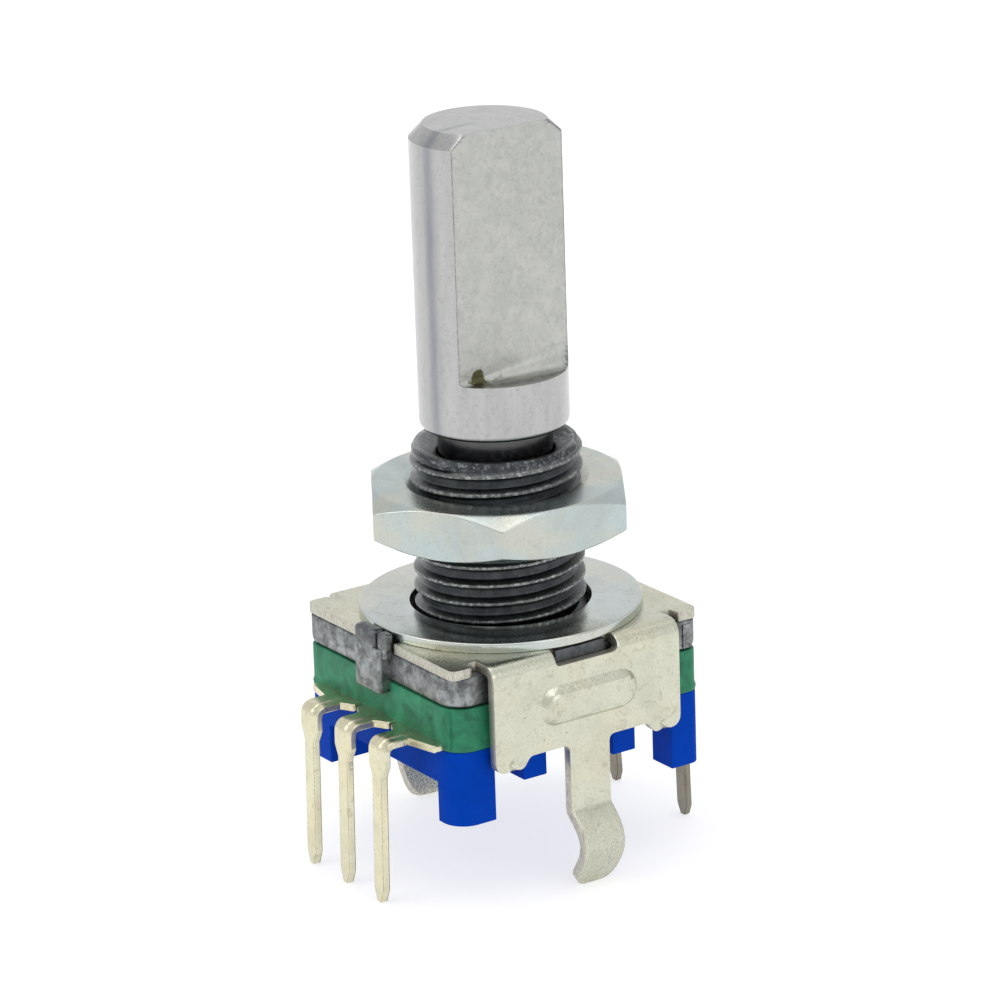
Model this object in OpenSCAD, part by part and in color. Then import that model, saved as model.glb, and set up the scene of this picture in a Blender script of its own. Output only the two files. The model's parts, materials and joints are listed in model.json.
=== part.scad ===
// Rotary encoder with a push switch: a D-shaft turning in a threaded die-cast bushing,
// on a body clamped in a stamped bracket, with pins for a printed circuit board.
// Millimetres. Z = 0 is the board's top face, +Z runs up the shaft, the encoder terminals
// are on the -Y side, the switch pins on the +Y side and the mounting legs on the X sides.

/* [Body] */
// Length of the body along X, between the bracket's side walls
body_x = 10.6; // [10:0.1:14]
// Width of the body along Y, from the terminal face to the switch face
body_y = 11.8; // [11:0.1:16]
// Radius of three of the body's upright corners
corner_r = 0.4; // [0.2:0.1:0.8]
// Radius of the body's upright corner at +X and -Y
front_corner_r = 1; // [0.4:0.1:1.4]
// Height of the corner feet, from the board to the underside of the switch block
foot_h = 1.65; // [1.2:0.05:3]
// Length of a corner foot along X
foot_x = 1.35; // [1:0.05:1.6]
// Length of a corner foot along Y
foot_y = 1.85; // [1.2:0.05:1.9]
// Height of the switch housing above the underside of its block
switch_h = 1.45; // [1.4:0.05:2.5]
// Height of the contact base
base_h = 1.8; // [1.6:0.05:3]
// Height of the die-cast housing's square flange
flange_h = 1.3; // [1.1:0.05:2.2]
// Least wall of the round cavity inside the body
cavity_wall = 0.45; // [0.3:0.05:0.6]

/* [Bushing] */
// Outside diameter of the bushing's thread
thread_d = 6.9; // [6.6:0.1:8.8]
// Height of the bushing above the bracket's top face
bush_h = 7; // [5:0.1:12]
// Width of the locating lug that rises through the bracket
lug_w = 1.9; // [1:0.1:3]
// How far the lug stands out from the body's terminal face
lug_out = 0.5; // [0.2:0.1:0.8]
// Height of the lug above the bracket's top face
lug_h = 0.4; // [0.2:0.1:1]

/* [Shaft] */
// Diameter of the shaft
shaft_d = 6; // [5.4:0.1:8]
// Height of the shaft's tip above the bracket's top face
shaft_l = 20; // [16:0.5:35]
// Height of the shaft's shoulder above the bracket's top face
shoulder_h = 7.7; // [7.6:0.1:9]
// Thickness of the shaft across its flat
flat_thick = 4.5; // [4:0.1:5.5]
// Length of the flat
flat_l = 10; // [5:0.5:12]
// How much thinner the shaft's flatted end is on the radius, so that a knob slides on
knob_ease = 0.01; // [0.01:0.01:0.05]
// Chamfer round the shaft's tip
tip_chamfer = 0.55; // [0.2:0.05:0.8]
// Diameter of the shaft's neck in the bushing
neck_d = 4.6; // [4.2:0.1:5]
// How far the shaft travels when it is pushed
push_travel = 0.5; // [0.3:0.05:0.6]

/* [Nut and washer] */
// Width of the nut across its flats
nut_af = 10; // [9.5:0.1:13]
// Thickness of the nut
nut_h = 2; // [1.5:0.1:3]
// Height of the nut's lower face above the bracket's top face
nut_z = 3.45; // [1:0.05:4]
// Outside diameter of the washer
washer_d = 11.4; // [10.2:0.1:12]
// How much wider the washer's hole is than the thread
washer_play = 0.4; // [0.2:0.05:0.8]
// Thickness of the washer
washer_t = 0.4; // [0.3:0.05:0.8]

/* [Bracket] */
// Thickness of the bracket's sheet
sheet_t = 0.4; // [0.3:0.05:0.6]
// Outside radius of the bracket's folds
fold_r = 0.6; // [0.6:0.05:0.9]
// Gap between the body and the bracket's side walls
side_gap = 0.3; // [0.1:0.05:0.6]
// Width of a side wall along Y
side_w = 8.9; // [8:0.1:10]
// Height of the side wall's middle above the board
side_z = 2.6; // [2.5:0.05:2.8]
// Width of a mounting leg along Y
leg_w = 1.9; // [1.5:0.1:2.4]
// How far a mounting leg bulges outwards
leg_bulge = 0.9; // [0.5:0.1:1.1]
// Depth of the legs and pins below the board's top face
pin_depth = 3.4; // [3:0.1:5]

/* [Pins] */
// Spacing of the encoder terminals
term_pitch = 2.5; // [2.45:0.01:3]
// Distance from the shaft's axis to the encoder terminals
term_y = 7.6; // [7:0.1:9]
// Distance from the shaft's axis to the switch pins
switch_pin_y = 7; // [6.7:0.1:9]
// Half the spacing of the switch pins
switch_pin_x = 2.5; // [2.4:0.1:2.6]
// Thickness of the encoder terminals
term_t = 0.3; // [0.2:0.05:0.35]
// Width of a pin
pin_w = 0.7; // [0.5:0.05:0.9]
// Width of an encoder terminal's shoulder
shoulder_w = 1.15; // [1:0.05:1.3]
// Thickness of the switch terminals
switch_term_t = 0.25; // [0.2:0.05:0.3]

/* [Inside] */
// Running clearance on the radius of what turns or slides
run_gap = 0.05; // [0.02:0.01:0.08]
// Number of detents in a turn
detents = 20; // [12:1:30]
// Diameter of the plunger's stem
plunger_d = 2.8; // [2.4:0.1:3]
// Diameter of the snap dome
dome_d = 5; // [4.4:0.1:5.2]
// Height of the snap dome
dome_h = 0.6; // [0.55:0.05:0.65]
// Radius of the retaining ring
clip_r = 2.75; // [2.6:0.05:3]

/* [Hidden] */
$fn = 64;
// Overshoot of a cut past the face that it opens
over = 1;

// Heights of the stack, from the board up
z_block = foot_h;
z_base = z_block + switch_h;
z_flange = z_base + base_h;
z_plate = z_flange + flange_h;
z_face = z_plate + sheet_t;
z_bush = z_face + bush_h;

// Switch, from the floor of its housing up
switch_floor = 0.5;
contact_t = 0.1;
contact_rim = 0.3;
dome_t = 0.08;
film_t = 0.05;
film_gap = 0.02;
touch_gap = 0.02;
slab_t = 0.65;
well_wall = 0.7;
pad_y = 2.15;
pad_w = 1.1;
z_slab = z_base - slab_t;
z_well = z_block + switch_floor;
z_contact = z_well + contact_t;
well_r = dome_d / 2 + well_wall;
dome_radius = (pow(dome_d / 2, 2) + pow(dome_h, 2)) / (2 * dome_h);
z_dome_centre = z_contact + dome_h - dome_radius;
z_plunger = z_contact + dome_h + film_gap + film_t + touch_gap;
plunger_flange_t = 0.12;
plunger_flange_r = 1.9;
plunger_clear = 0.2;

// Rotor cavity
base_floor = 0.6;
web_t = 0.5;
brush_room = 0.45;
code_t = 0.12;
spring_room = 0.65;
spring_t = 0.12;
spring_edge = 0.1;
arch_gap = 0.05;
rotor_gap = 0.3;
z_floor = z_base + base_floor;
z_code = z_floor + brush_room;
z_rotor = z_code + code_t;
z_ceiling = z_plate - web_t;
z_rotor_top = z_ceiling - spring_room;
cavity_r = min(body_x, body_y) / 2 - cavity_wall;
rotor_r = cavity_r - rotor_gap;
hub_r = 2.3;
hub_gap = 0.05;

// Ring, thrust washer and the lower end of the shaft
thrust_t = 0.1;
clip_t = 0.3;
clip_gap = 0.1;
clip_opening = 2.4;
recess_gap = 0.45;
groove_r = 1.9;
key_r = 1.9;
key_flat = 1.45;
tip_r = 1.2;
seat_gap = 0.02;
stem_below = 0.15;
z_clip = z_ceiling - thrust_t - clip_t - seat_gap;
z_recess = z_clip - push_travel - clip_gap;
z_key = z_floor + push_travel + hub_gap + seat_gap;
z_plunger_top = z_floor - stem_below;
z_tip = z_plunger_top + touch_gap;
z_shoulder = z_face + shoulder_h;
z_shaft = z_face + shaft_l;
z_flat = z_shaft - flat_l;
knob_r = shaft_d / 2 - knob_ease;
foot_round = 0.35;

// Bushing and its countersink
neck_r = neck_d / 2;
bore_r = neck_r + run_gap;
countersink_r = 3;
countersink_h = 0.6;
bush_chamfer = 0.3;
groove_depth = 0.1;
groove_w = 0.5;
boss_w = 2.6;
boss_gap = 0.15;
lug_below = 0.45;
lug_root = 0.6;
lug_gap = 0.08;
plate_gap = 0.15;
nut_chamfer = 0.45;
// Angle of the nut's first corner, from +X
nut_turn = -32;

// Bracket
side_x = body_x / 2 + side_gap;
lobe_w = 1.55;
lobe_drop = 0.45;
lobe_round = 0.5;
root_round = 0.3;
hook_y = 3.5;
hook_w = 0.8;
hook_in = 0.6;
rib_l = 4.4;
rib_w = 1.3;
rib_out = 0.25;
rib_skin = 0.15;
z_rib = z_face - 2.2;
plate_hole_gap = 0.1;
slot_w = boss_w + 2 * plate_gap;
leg_steps = 20;
leg_straight = 0.3;

// Terminals
bend_r = 0.5;
ear_l = 1.1;
outer_ear_l = 2.1;
ear_out = 0.4;
ear_taper = 0.3;
taper_h = 0.4;
shoulder_h2 = 1.1;
point_h = 0.5;
point_w = 0.25;
brush_t = 0.12;
brush_l = 1.3;
brush_gap = 0.03;
brush_slit = 0.2;
track_in = 2.5;
track_split = 3;
track_rim = 0.2;
window_w = 0.5;
riser_t = 0.3;
// Where the outer and the middle terminals' risers stand, measured from the axis
riser_outer_y = 3.5;
riser_middle_y = 4.3;

// How far a leg stands out of its wall's plane at height z: a smooth bulge, fullest above its middle
function leg_out(z) = z > -leg_straight ? 0 :
    leg_bulge * pow(sin(180 * pow((-leg_straight - z) / (pin_depth - leg_straight), 0.8)), 1.3);

module ring(r_out, r_in, h) {
    difference() {
        cylinder(r = r_out, h = h);
        translate([0, 0, -over]) cylinder(r = r_in, h = h + 2 * over);
    }
}

module corner_cut(sx, sy, r) {
    translate([sx * body_x / 2, sy * body_y / 2]) difference() {
        square(2 * r, center = true);
        translate([-sx * r, -sy * r]) circle(r);
    }
}

module body_outline() {
    difference() {
        square([body_x, body_y], center = true);
        corner_cut(1, -1, front_corner_r);
        corner_cut(-1, -1, corner_r);
        corner_cut(-1, 1, corner_r);
        corner_cut(1, 1, corner_r);
    }
}

module body_slab(z, h) {
    translate([0, 0, z]) linear_extrude(h) body_outline();
}

// A box given by its low and high corners
module box(lo, hi) {
    translate(lo) cube(hi - lo);
}

module shaft() {
    color([0.74, 0.75, 0.75]) difference() {
        rotate_extrude() polygon([
            [0, z_tip], [tip_r, z_tip], [tip_r, z_key], [key_r, z_key], [key_r, z_clip - seat_gap],
            [groove_r, z_clip - seat_gap], [groove_r, z_clip + clip_t + seat_gap],
            [neck_r, z_clip + clip_t + seat_gap], [neck_r, z_shoulder],
            [shaft_d / 2 - foot_round, z_shoulder], [shaft_d / 2, z_shoulder + foot_round],
            [shaft_d / 2, z_flat], [knob_r, z_flat],
            [knob_r, z_shaft - tip_chamfer], [knob_r - tip_chamfer, z_shaft],
            [0, z_shaft]]);
        box([flat_thick - shaft_d / 2, -shaft_d, z_flat], [shaft_d, shaft_d, z_shaft + over]);
        box([key_flat, -shaft_d, z_key - over], [shaft_d, shaft_d, z_clip - seat_gap]);
        box([-shaft_d, -shaft_d, z_key - over], [-key_flat, shaft_d, z_clip - seat_gap]);
    }
}

module retaining_ring() {
    color([0.55, 0.56, 0.58]) translate([0, 0, z_clip]) difference() {
        ring(clip_r, groove_r + seat_gap, clip_t);
        box([0, -clip_opening / 2, -over], [2 * clip_r, clip_opening / 2, clip_t + over]);
    }
}

module thrust_washer() {
    color([0.85, 0.84, 0.78]) translate([0, 0, z_clip + clip_t]) ring(clip_r, bore_r, thrust_t);
}

module key_hole(grow) {
    intersection() {
        translate([0, 0, z_base]) cylinder(r = key_r + grow, h = z_plate - z_base);
        box([-key_flat - grow, -shaft_d, 0], [key_flat + grow, shaft_d, z_shaft]);
    }
}

module rotor() {
    color([0.12, 0.12, 0.13]) difference() {
        union() {
            translate([0, 0, z_rotor]) cylinder(r = rotor_r, h = z_rotor_top - z_rotor);
            translate([0, 0, z_floor + hub_gap]) cylinder(r = hub_r, h = z_rotor - z_floor);
        }
        key_hole(run_gap);
        translate([0, 0, z_recess]) cylinder(r = clip_r + recess_gap, h = z_plate - z_recess);
    }
}

module code_plate() {
    tooth_out = rotor_r - track_rim;
    color([0.83, 0.68, 0.35]) translate([0, 0, z_code]) {
        difference() {
            cylinder(r = tooth_out, h = code_t);
            translate([0, 0, -over]) cylinder(r = track_in, h = code_t + 2 * over);
            for (i = [0 : detents - 1]) rotate(i * 360 / detents)
                box([track_split, -window_w / 2, -over],
                    [tooth_out - track_rim, window_w / 2, code_t + over]);
        }
    }
}

module detent_spring() {
    arch_r = z_ceiling - z_rotor_top - arch_gap;
    r_in = clip_r + recess_gap + spring_edge;
    r_out = rotor_r - spring_edge;
    color([0.80, 0.78, 0.70]) {
        translate([0, 0, z_rotor_top]) ring(r_out, r_in, spring_t);
        for (a = [0, 180]) rotate(a + 180 / detents) intersection() {
            translate([r_in + spring_edge, 0, z_rotor_top]) rotate([0, 90, 0])
                ring(arch_r, arch_r - spring_t, r_out - r_in - 2 * spring_edge);
            box([0, -shaft_d, z_rotor_top], [shaft_d, shaft_d, z_plate]);
        }
    }
}

module bushing_solid() {
    r = thread_d / 2;
    rotate_extrude() polygon([[0, z_flange], [r, z_flange], [r, z_bush - bush_chamfer],
        [r - bush_chamfer, z_bush], [0, z_bush]]);
}

module housing() {
    lug_y = body_y / 2 + lug_out;
    color([0.58, 0.58, 0.60]) difference() {
        union() {
            body_slab(z_flange, flange_h);
            bushing_solid();
            box([-lug_w / 2, -lug_y, z_flange], [lug_w / 2, -body_y / 2 + lug_root, z_face]);
            box([-lug_w / 2, -lug_y, z_flange - lug_below], [lug_w / 2, -body_y / 2, z_flange]);
            box([-lug_w / 2, -lug_y, z_face - over / 2],
                [lug_w / 2, -washer_d / 2 - lug_gap, z_face + lug_h]);
            for (s = [-1, 1]) translate([s * body_x / 2, 0, (z_flange + z_face) / 2])
                cube([2 * side_gap - 2 * boss_gap, boss_w, z_face - z_flange - boss_gap], center = true);
        }
        translate([0, 0, z_flange - over]) cylinder(r = cavity_r, h = z_ceiling - z_flange + over);
        translate([0, 0, z_flange]) cylinder(r = bore_r, h = z_bush);
        translate([0, 0, z_bush - countersink_h])
            cylinder(r1 = bore_r, r2 = countersink_r, h = countersink_h);
        for (i = [0 : detents - 1]) rotate((i + 0.5) * 360 / detents)
            box([clip_r + recess_gap, -groove_w / 2, z_ceiling - over],
                [rotor_r, groove_w / 2, z_ceiling + groove_depth]);
    }
}

// One leg's outline seen along Y: straight, then bulging outwards and back to its tip
module leg_profile() {
    zs = [for (i = [0 : leg_steps]) side_z - (side_z + pin_depth) * i / leg_steps];
    outer = [for (z = zs) [side_x + sheet_t + leg_out(z), z]];
    inner = [for (i = [leg_steps : -1 : 0]) [side_x + leg_out(zs[i]), zs[i]]];
    polygon(concat(outer, inner));
}

// The plate, fold and side wall seen along Y
module fold_profile() {
    xo = side_x + sheet_t;
    box2([0, z_plate], [xo - fold_r, z_face]);
    box2([side_x, side_z - lobe_drop], [xo, z_face - fold_r]);
    intersection() {
        translate([xo - fold_r, z_face - fold_r]) difference() {
            circle(fold_r);
            circle(fold_r - sheet_t);
        }
        box2([xo - fold_r, z_face - fold_r], [xo, z_face]);
    }
}

module box2(lo, hi) {
    translate(lo) square(hi - lo);
}

// Turns a drawing in X and Z into a slab across Y
module across_y(w) {
    rotate([90, 0, 0]) translate([0, 0, -w / 2]) linear_extrude(w) children();
}

module stadium(l, w) {
    square([l - w, w], center = true);
    for (s = [-1, 1]) translate([s * (l - w) / 2, 0]) circle(d = w);
}

// Turns a drawing in Y and Z into a slab along X that starts at x
module along_x(x, t) {
    translate([x, 0, 0]) rotate([90, 0, 90]) linear_extrude(t) children();
}

module bracket_side() {
    xo = side_x + sheet_t;
    z_lobe = side_z - lobe_drop;
    difference() {
        union() {
            across_y(side_w) fold_profile();
            along_x(xo - sheet_t / 2, rib_out + sheet_t / 2) translate([0, z_rib]) stadium(rib_l, rib_w);
        }
        along_x(side_x - over, over + rib_out) translate([0, z_rib])
            stadium(rib_l - 2 * rib_skin, rib_w - 2 * rib_skin);
        box([side_x - over, lobe_w - side_w / 2, z_lobe - over],
            [xo + over, side_w / 2 - lobe_w, side_z]);
        for (s = [-1, 1]) along_x(side_x - over, sheet_t + 2 * over)
            translate([s * side_w / 2, z_lobe]) difference() {
                square(2 * lobe_round, center = true);
                translate([-s * lobe_round, lobe_round]) circle(lobe_round);
            }
    }
    across_y(leg_w) leg_profile();
    for (s = [-1, 1]) {
        along_x(side_x, sheet_t) translate([s * leg_w / 2, side_z]) difference() {
            square(2 * root_round, center = true);
            translate([s * root_round, -root_round]) circle(root_round);
            translate([0, root_round]) square([4 * root_round, 2 * root_round], center = true);
        }
        box([side_x - hook_in, s * hook_y - hook_w / 2, z_lobe],
            [side_x + sheet_t / 2, s * hook_y + hook_w / 2, z_slab]);
    }
}

module frame_bracket() {
    color([0.80, 0.80, 0.74]) difference() {
        union() {
            body_slab(z_plate, sheet_t);
            bracket_side();
            mirror([1, 0, 0]) bracket_side();
        }
        translate([0, 0, z_plate - over])
            cylinder(r = thread_d / 2 + plate_hole_gap, h = sheet_t + 2 * over);
        box([-lug_w / 2 - plate_gap, -body_y, z_plate - over],
            [lug_w / 2 + plate_gap, -body_y / 2 + lug_root + plate_gap, z_face + over]);
        for (s = [-1, 1]) translate([s * (side_x + sheet_t), 0, z_face])
            cube([2 * (sheet_t + side_gap + plate_gap), slot_w, 2 * fold_r], center = true);
    }
}

module panel_washer() {
    color([0.70, 0.74, 0.74]) translate([0, 0, z_face]) ring(washer_d / 2, (thread_d + washer_play) / 2, washer_t);
}

module hex_nut() {
    nut_r = nut_af / sqrt(3);
    color([0.78, 0.81, 0.80]) translate([0, 0, z_face + nut_z]) difference() {
        intersection() {
            rotate(nut_turn) cylinder(r = nut_r, h = nut_h, $fn = 6);
            rotate_extrude() polygon([[0, 0], [nut_af / 2, 0], [nut_r, nut_chamfer],
                [nut_r, nut_h - nut_chamfer], [nut_af / 2, nut_h], [0, nut_h]]);
        }
        translate([0, 0, -over]) cylinder(r = thread_d / 2 + run_gap, h = nut_h + 2 * over);
    }
}

// An encoder terminal's strip, seen from above: it narrows from its ears to its shoulder.
// side is -1, 0 or 1 for the terminals at -X, the middle and +X.
module strip_outline(side) {
    left = side < 0 ? outer_ear_l : ear_l;
    right = side > 0 ? outer_ear_l : ear_l;
    y_in = side == 0 ? -riser_middle_y : -riser_outer_y;
    y_face = -body_y / 2;
    translate([side * term_pitch, 0]) polygon([
        [-shoulder_w / 2, -term_y - term_t / 2 + bend_r], [-shoulder_w / 2, y_face - ear_out - ear_taper],
        [-left, y_face - ear_out], [-left, y_face], [-shoulder_w / 2, y_face + ear_taper],
        [-shoulder_w / 2, y_in], [shoulder_w / 2, y_in], [shoulder_w / 2, y_face + ear_taper],
        [right, y_face], [right, y_face - ear_out], [shoulder_w / 2, y_face - ear_out - ear_taper],
        [shoulder_w / 2, -term_y - term_t / 2 + bend_r]]);
}

module terminal_inside(side) {
    y_in = side == 0 ? -riser_middle_y : -riser_outer_y;
    translate([0, 0, z_base]) linear_extrude(term_t) strip_outline(side);
    box([side * term_pitch - shoulder_w / 2, y_in - riser_t, z_base],
        [side * term_pitch + shoulder_w / 2, y_in, z_floor + brush_t]);
}

// A quarter bend of strip, from level to straight down, with its outer radius
module bend(w, t, r) {
    rotate([90, 0, 90]) translate([0, 0, -w / 2]) linear_extrude(w) intersection() {
        difference() {
            circle(r);
            circle(r - t);
        }
        box2([-r, 0], [0, r]);
    }
}

module pin_outline(top, w_top, w_pin, shoulder) {
    polygon([[-w_top / 2, top], [-w_top / 2, top - shoulder], [-w_pin / 2, top - shoulder - taper_h],
        [-w_pin / 2, point_h - pin_depth], [-point_w / 2, -pin_depth], [point_w / 2, -pin_depth],
        [w_pin / 2, point_h - pin_depth], [w_pin / 2, top - shoulder - taper_h],
        [w_top / 2, top - shoulder], [w_top / 2, top]]);
}

module terminal(side) {
    z_bend = z_base + term_t - bend_r;
    y_in = side == 0 ? -riser_middle_y : -riser_outer_y;
    color([0.85, 0.82, 0.70]) {
        terminal_inside(side);
        translate([side * term_pitch, -term_y - term_t / 2 + bend_r, z_bend])
            bend(shoulder_w, term_t, bend_r);
        translate([side * term_pitch, -term_y, 0]) across_y(term_t)
            pin_outline(z_bend, shoulder_w, pin_w, shoulder_h2);
        for (s = [-1, 1]) translate([side * term_pitch + s * (shoulder_w + brush_slit) / 4, 0, 0])
            rotate([90, 0, 90]) translate([0, 0, -(shoulder_w - brush_slit) / 4])
                linear_extrude((shoulder_w - brush_slit) / 2) polygon([
                    [y_in - riser_t, z_floor], [y_in, z_floor],
                    [y_in + brush_l, z_code - brush_gap - brush_t], [y_in + brush_l, z_code - brush_gap],
                    [y_in, z_floor + brush_t], [y_in - riser_t, z_floor + brush_t]]);
    }
}

module terminal_a() { terminal(-1); }
module terminal_c() { terminal(0); }
module terminal_b() { terminal(1); }

module contact_base() {
    color([0.32, 0.55, 0.46]) difference() {
        body_slab(z_base, base_h);
        translate([0, 0, z_floor]) cylinder(r = cavity_r, h = base_h);
        translate([0, 0, z_base - over]) cylinder(r = plunger_d / 2 + plunger_clear, h = base_h);
        for (side = [-1, 0, 1]) terminal_inside(side);
    }
}

// A switch terminal's strip inside the housing, at its side: -1 for D and 1 for E
module switch_strip(side) {
    x = side * switch_pin_x;
    z_strip = z_well - contact_t - switch_term_t;
    box([x - pin_w / 2, -pin_w / 2, z_strip], [x + pin_w / 2, body_y / 2, z_strip + switch_term_t]);
    if (side < 0) {
        box([x - pin_w / 2, -pin_w / 2, z_strip], [0, pin_w / 2, z_strip + switch_term_t]);
        translate([0, 0, z_strip]) cylinder(r = pin_w, h = z_contact - z_strip);
    } else {
        box([x - pin_w / 2, -pin_w / 2, z_strip], [x, pin_w / 2, z_contact]);
        translate([0, 0, z_well]) ring(dome_d / 2 + contact_rim, dome_d / 2 - contact_rim, contact_t);
    }
}

module switch_contact(side) {
    z_strip = z_well - contact_t - switch_term_t;
    z_bend = z_strip + switch_term_t - bend_r;
    y_bend = switch_pin_y + switch_term_t / 2 - bend_r;
    color([0.62, 0.60, 0.54]) {
        switch_strip(side);
        box([side * switch_pin_x - pin_w / 2, body_y / 2, z_strip],
            [side * switch_pin_x + pin_w / 2, y_bend, z_strip + switch_term_t]);
        translate([side * switch_pin_x, y_bend, z_bend]) mirror([0, 1, 0])
            bend(pin_w, switch_term_t, bend_r);
        translate([side * switch_pin_x, switch_pin_y, 0]) across_y(switch_term_t)
            pin_outline(z_bend, pin_w, pin_w, 0);
    }
}

module switch_contact_d() { switch_contact(-1); }
module switch_contact_e() { switch_contact(1); }

module switch_housing() {
    block_x = body_x / 2 - foot_x;
    color([0.05, 0.25, 0.66]) difference() {
        union() {
            body_slab(z_slab, slab_t);
            box([-block_x, -body_y / 2, z_block], [block_x, body_y / 2, z_slab]);
            for (sx = [-1, 1], sy = [-1, 1]) {
                translate([sx * (block_x + foot_x / 2), sy * pad_y, (z_block + z_slab) / 2])
                    cube([foot_x, pad_w, slab_t + z_slab - z_block], center = true);
                intersection() {
                    body_slab(0, z_base);
                    translate([sx * (block_x + foot_x), sy * body_y / 2, z_base / 2])
                        cube([2 * foot_x, 2 * foot_y, z_base], center = true);
                }
            }
        }
        translate([0, 0, z_well]) cylinder(r = well_r, h = switch_h);
        switch_strip(-1);
        switch_strip(1);
    }
}

module switch_plunger() {
    color([0.90, 0.90, 0.88]) {
        translate([0, 0, z_plunger]) cylinder(r = plunger_flange_r, h = plunger_flange_t);
        translate([0, 0, z_plunger]) cylinder(d = plunger_d, h = z_plunger_top - z_plunger);
    }
}

// A spherical cap's shell that stands on the fixed contacts
module cap_shell(r_out, t, r_rim) {
    intersection() {
        translate([0, 0, z_dome_centre]) difference() {
            sphere(r_out);
            sphere(r_out - t);
        }
        translate([0, 0, z_contact]) cylinder(r = r_rim, h = z_base - z_contact);
    }
}

module snap_dome() {
    color([0.78, 0.78, 0.78]) cap_shell(dome_radius, dome_t, dome_d);
}

module dome_film() {
    color([0.80, 0.60, 0.25]) cap_shell(dome_radius + film_gap + film_t, film_t, dome_d);
}

shaft();
retaining_ring();
thrust_washer();
rotor();
code_plate();
detent_spring();
housing();
frame_bracket();
panel_washer();
hex_nut();
contact_base();
terminal_a();
terminal_c();
terminal_b();
switch_housing();
switch_plunger();
dome_film();
snap_dome();
switch_contact_d();
switch_contact_e();
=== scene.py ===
"""The finished look of a rotary encoder with a push switch, built round its packed CAD model.

Laid out as an add-on: the settings hold the sizes and colours, each operator makes one piece or
a group of like pieces, and main() runs them in order. Shapes are worked out in millimetres in
the CAD model's own frame and become metres when they are put into a mesh.
"""

import json
import math
from contextlib import contextmanager

import bmesh
import bpy
import numpy as np
from bpy.props import FloatProperty, FloatVectorProperty, PointerProperty
from mathutils import Matrix, Vector
from mathutils.geometry import delaunay_2d_cdt


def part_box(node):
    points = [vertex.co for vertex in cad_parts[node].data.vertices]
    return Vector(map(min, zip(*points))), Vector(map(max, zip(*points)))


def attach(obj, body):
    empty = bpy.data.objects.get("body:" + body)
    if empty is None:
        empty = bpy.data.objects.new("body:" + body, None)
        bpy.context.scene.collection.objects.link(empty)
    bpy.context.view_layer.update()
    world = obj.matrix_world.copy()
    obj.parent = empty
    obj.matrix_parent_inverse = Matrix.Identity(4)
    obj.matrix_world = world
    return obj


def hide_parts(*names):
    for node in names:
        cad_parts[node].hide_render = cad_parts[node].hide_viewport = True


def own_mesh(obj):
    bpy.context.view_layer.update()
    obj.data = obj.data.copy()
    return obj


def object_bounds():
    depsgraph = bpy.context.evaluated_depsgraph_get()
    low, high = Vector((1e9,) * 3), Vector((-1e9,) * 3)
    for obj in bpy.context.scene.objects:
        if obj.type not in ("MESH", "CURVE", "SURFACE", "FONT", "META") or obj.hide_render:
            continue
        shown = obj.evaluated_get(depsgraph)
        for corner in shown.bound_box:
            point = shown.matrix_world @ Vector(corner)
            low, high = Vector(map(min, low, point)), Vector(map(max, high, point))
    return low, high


bl_info = {
    "name": "Rotary Encoder",
    "version": (1, 0, 0),
    "blender": (4, 5, 0),
    "location": "View3D > Sidebar > Encoder",
    "description": "Builds the visible pieces of a rotary encoder with a push switch",
    "category": "Object",
}

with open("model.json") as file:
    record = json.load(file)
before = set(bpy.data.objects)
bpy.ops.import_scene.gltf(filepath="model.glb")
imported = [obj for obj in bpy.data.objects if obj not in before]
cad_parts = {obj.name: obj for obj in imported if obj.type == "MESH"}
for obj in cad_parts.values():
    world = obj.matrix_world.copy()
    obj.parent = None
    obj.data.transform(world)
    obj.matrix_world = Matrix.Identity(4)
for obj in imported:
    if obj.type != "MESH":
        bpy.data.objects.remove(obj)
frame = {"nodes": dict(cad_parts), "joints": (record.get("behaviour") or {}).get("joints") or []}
CAD_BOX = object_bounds()

MM = 0.001
TURN = 2 * math.pi
TINY = 1e-9
SHARP = math.radians(38)
FAR = 99.0
SLACK = 0.02


def box(node):
    """A CAD node's lowest and highest corners in millimetres."""
    low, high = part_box(node)
    return np.array(low) / MM, np.array(high) / MM


def travel(joint):
    """A sliding joint's longest travel in millimetres."""
    found = next(j for j in frame["joints"] if j["name"] == joint)
    return max(abs(x) for x in found["range_m"]) / MM


SHAFT_LOW, SHAFT_HIGH = box("shaft")
HOUSING_LOW, HOUSING_HIGH = box("housing")
BASE_LOW, BASE_HIGH = box("contact_base")
BRACKET_LOW, BRACKET_HIGH = box("frame_bracket")
NUT_LOW, NUT_HIGH = box("hex_nut")
WASHER_LOW, WASHER_HIGH = box("panel_washer")
RING_LOW, RING_HIGH = box("retaining_ring")


# Arrays and meshes


def smooth(x, low, high):
    """0 below low, 1 above high, and the cubic 3t² - 2t³ between them."""
    t = np.clip((x - low) / (high - low), 0, 1)
    return t * t * (3 - 2 * t)


def least(a, b, blend):
    """The smaller of two lengths, rounded where they meet: -blend * log(exp(-a/blend) + exp(-b/blend))."""
    return -blend * np.logaddexp(-a / blend, -b / blend)


def ring_angles(count, gathered=(), spread=0.1, extra=16):
    """Angles from 0 to a full turn: count even ones, and extra ones close to each gathered angle."""
    parts = [np.arange(count) * TURN / count]
    parts += [a + np.linspace(-spread, spread, extra + 1) for a in gathered]
    angle = np.unique(np.round(np.concatenate(parts) % TURN, 6))
    return np.append(angle[angle < TURN - 1e-4], TURN)


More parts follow.
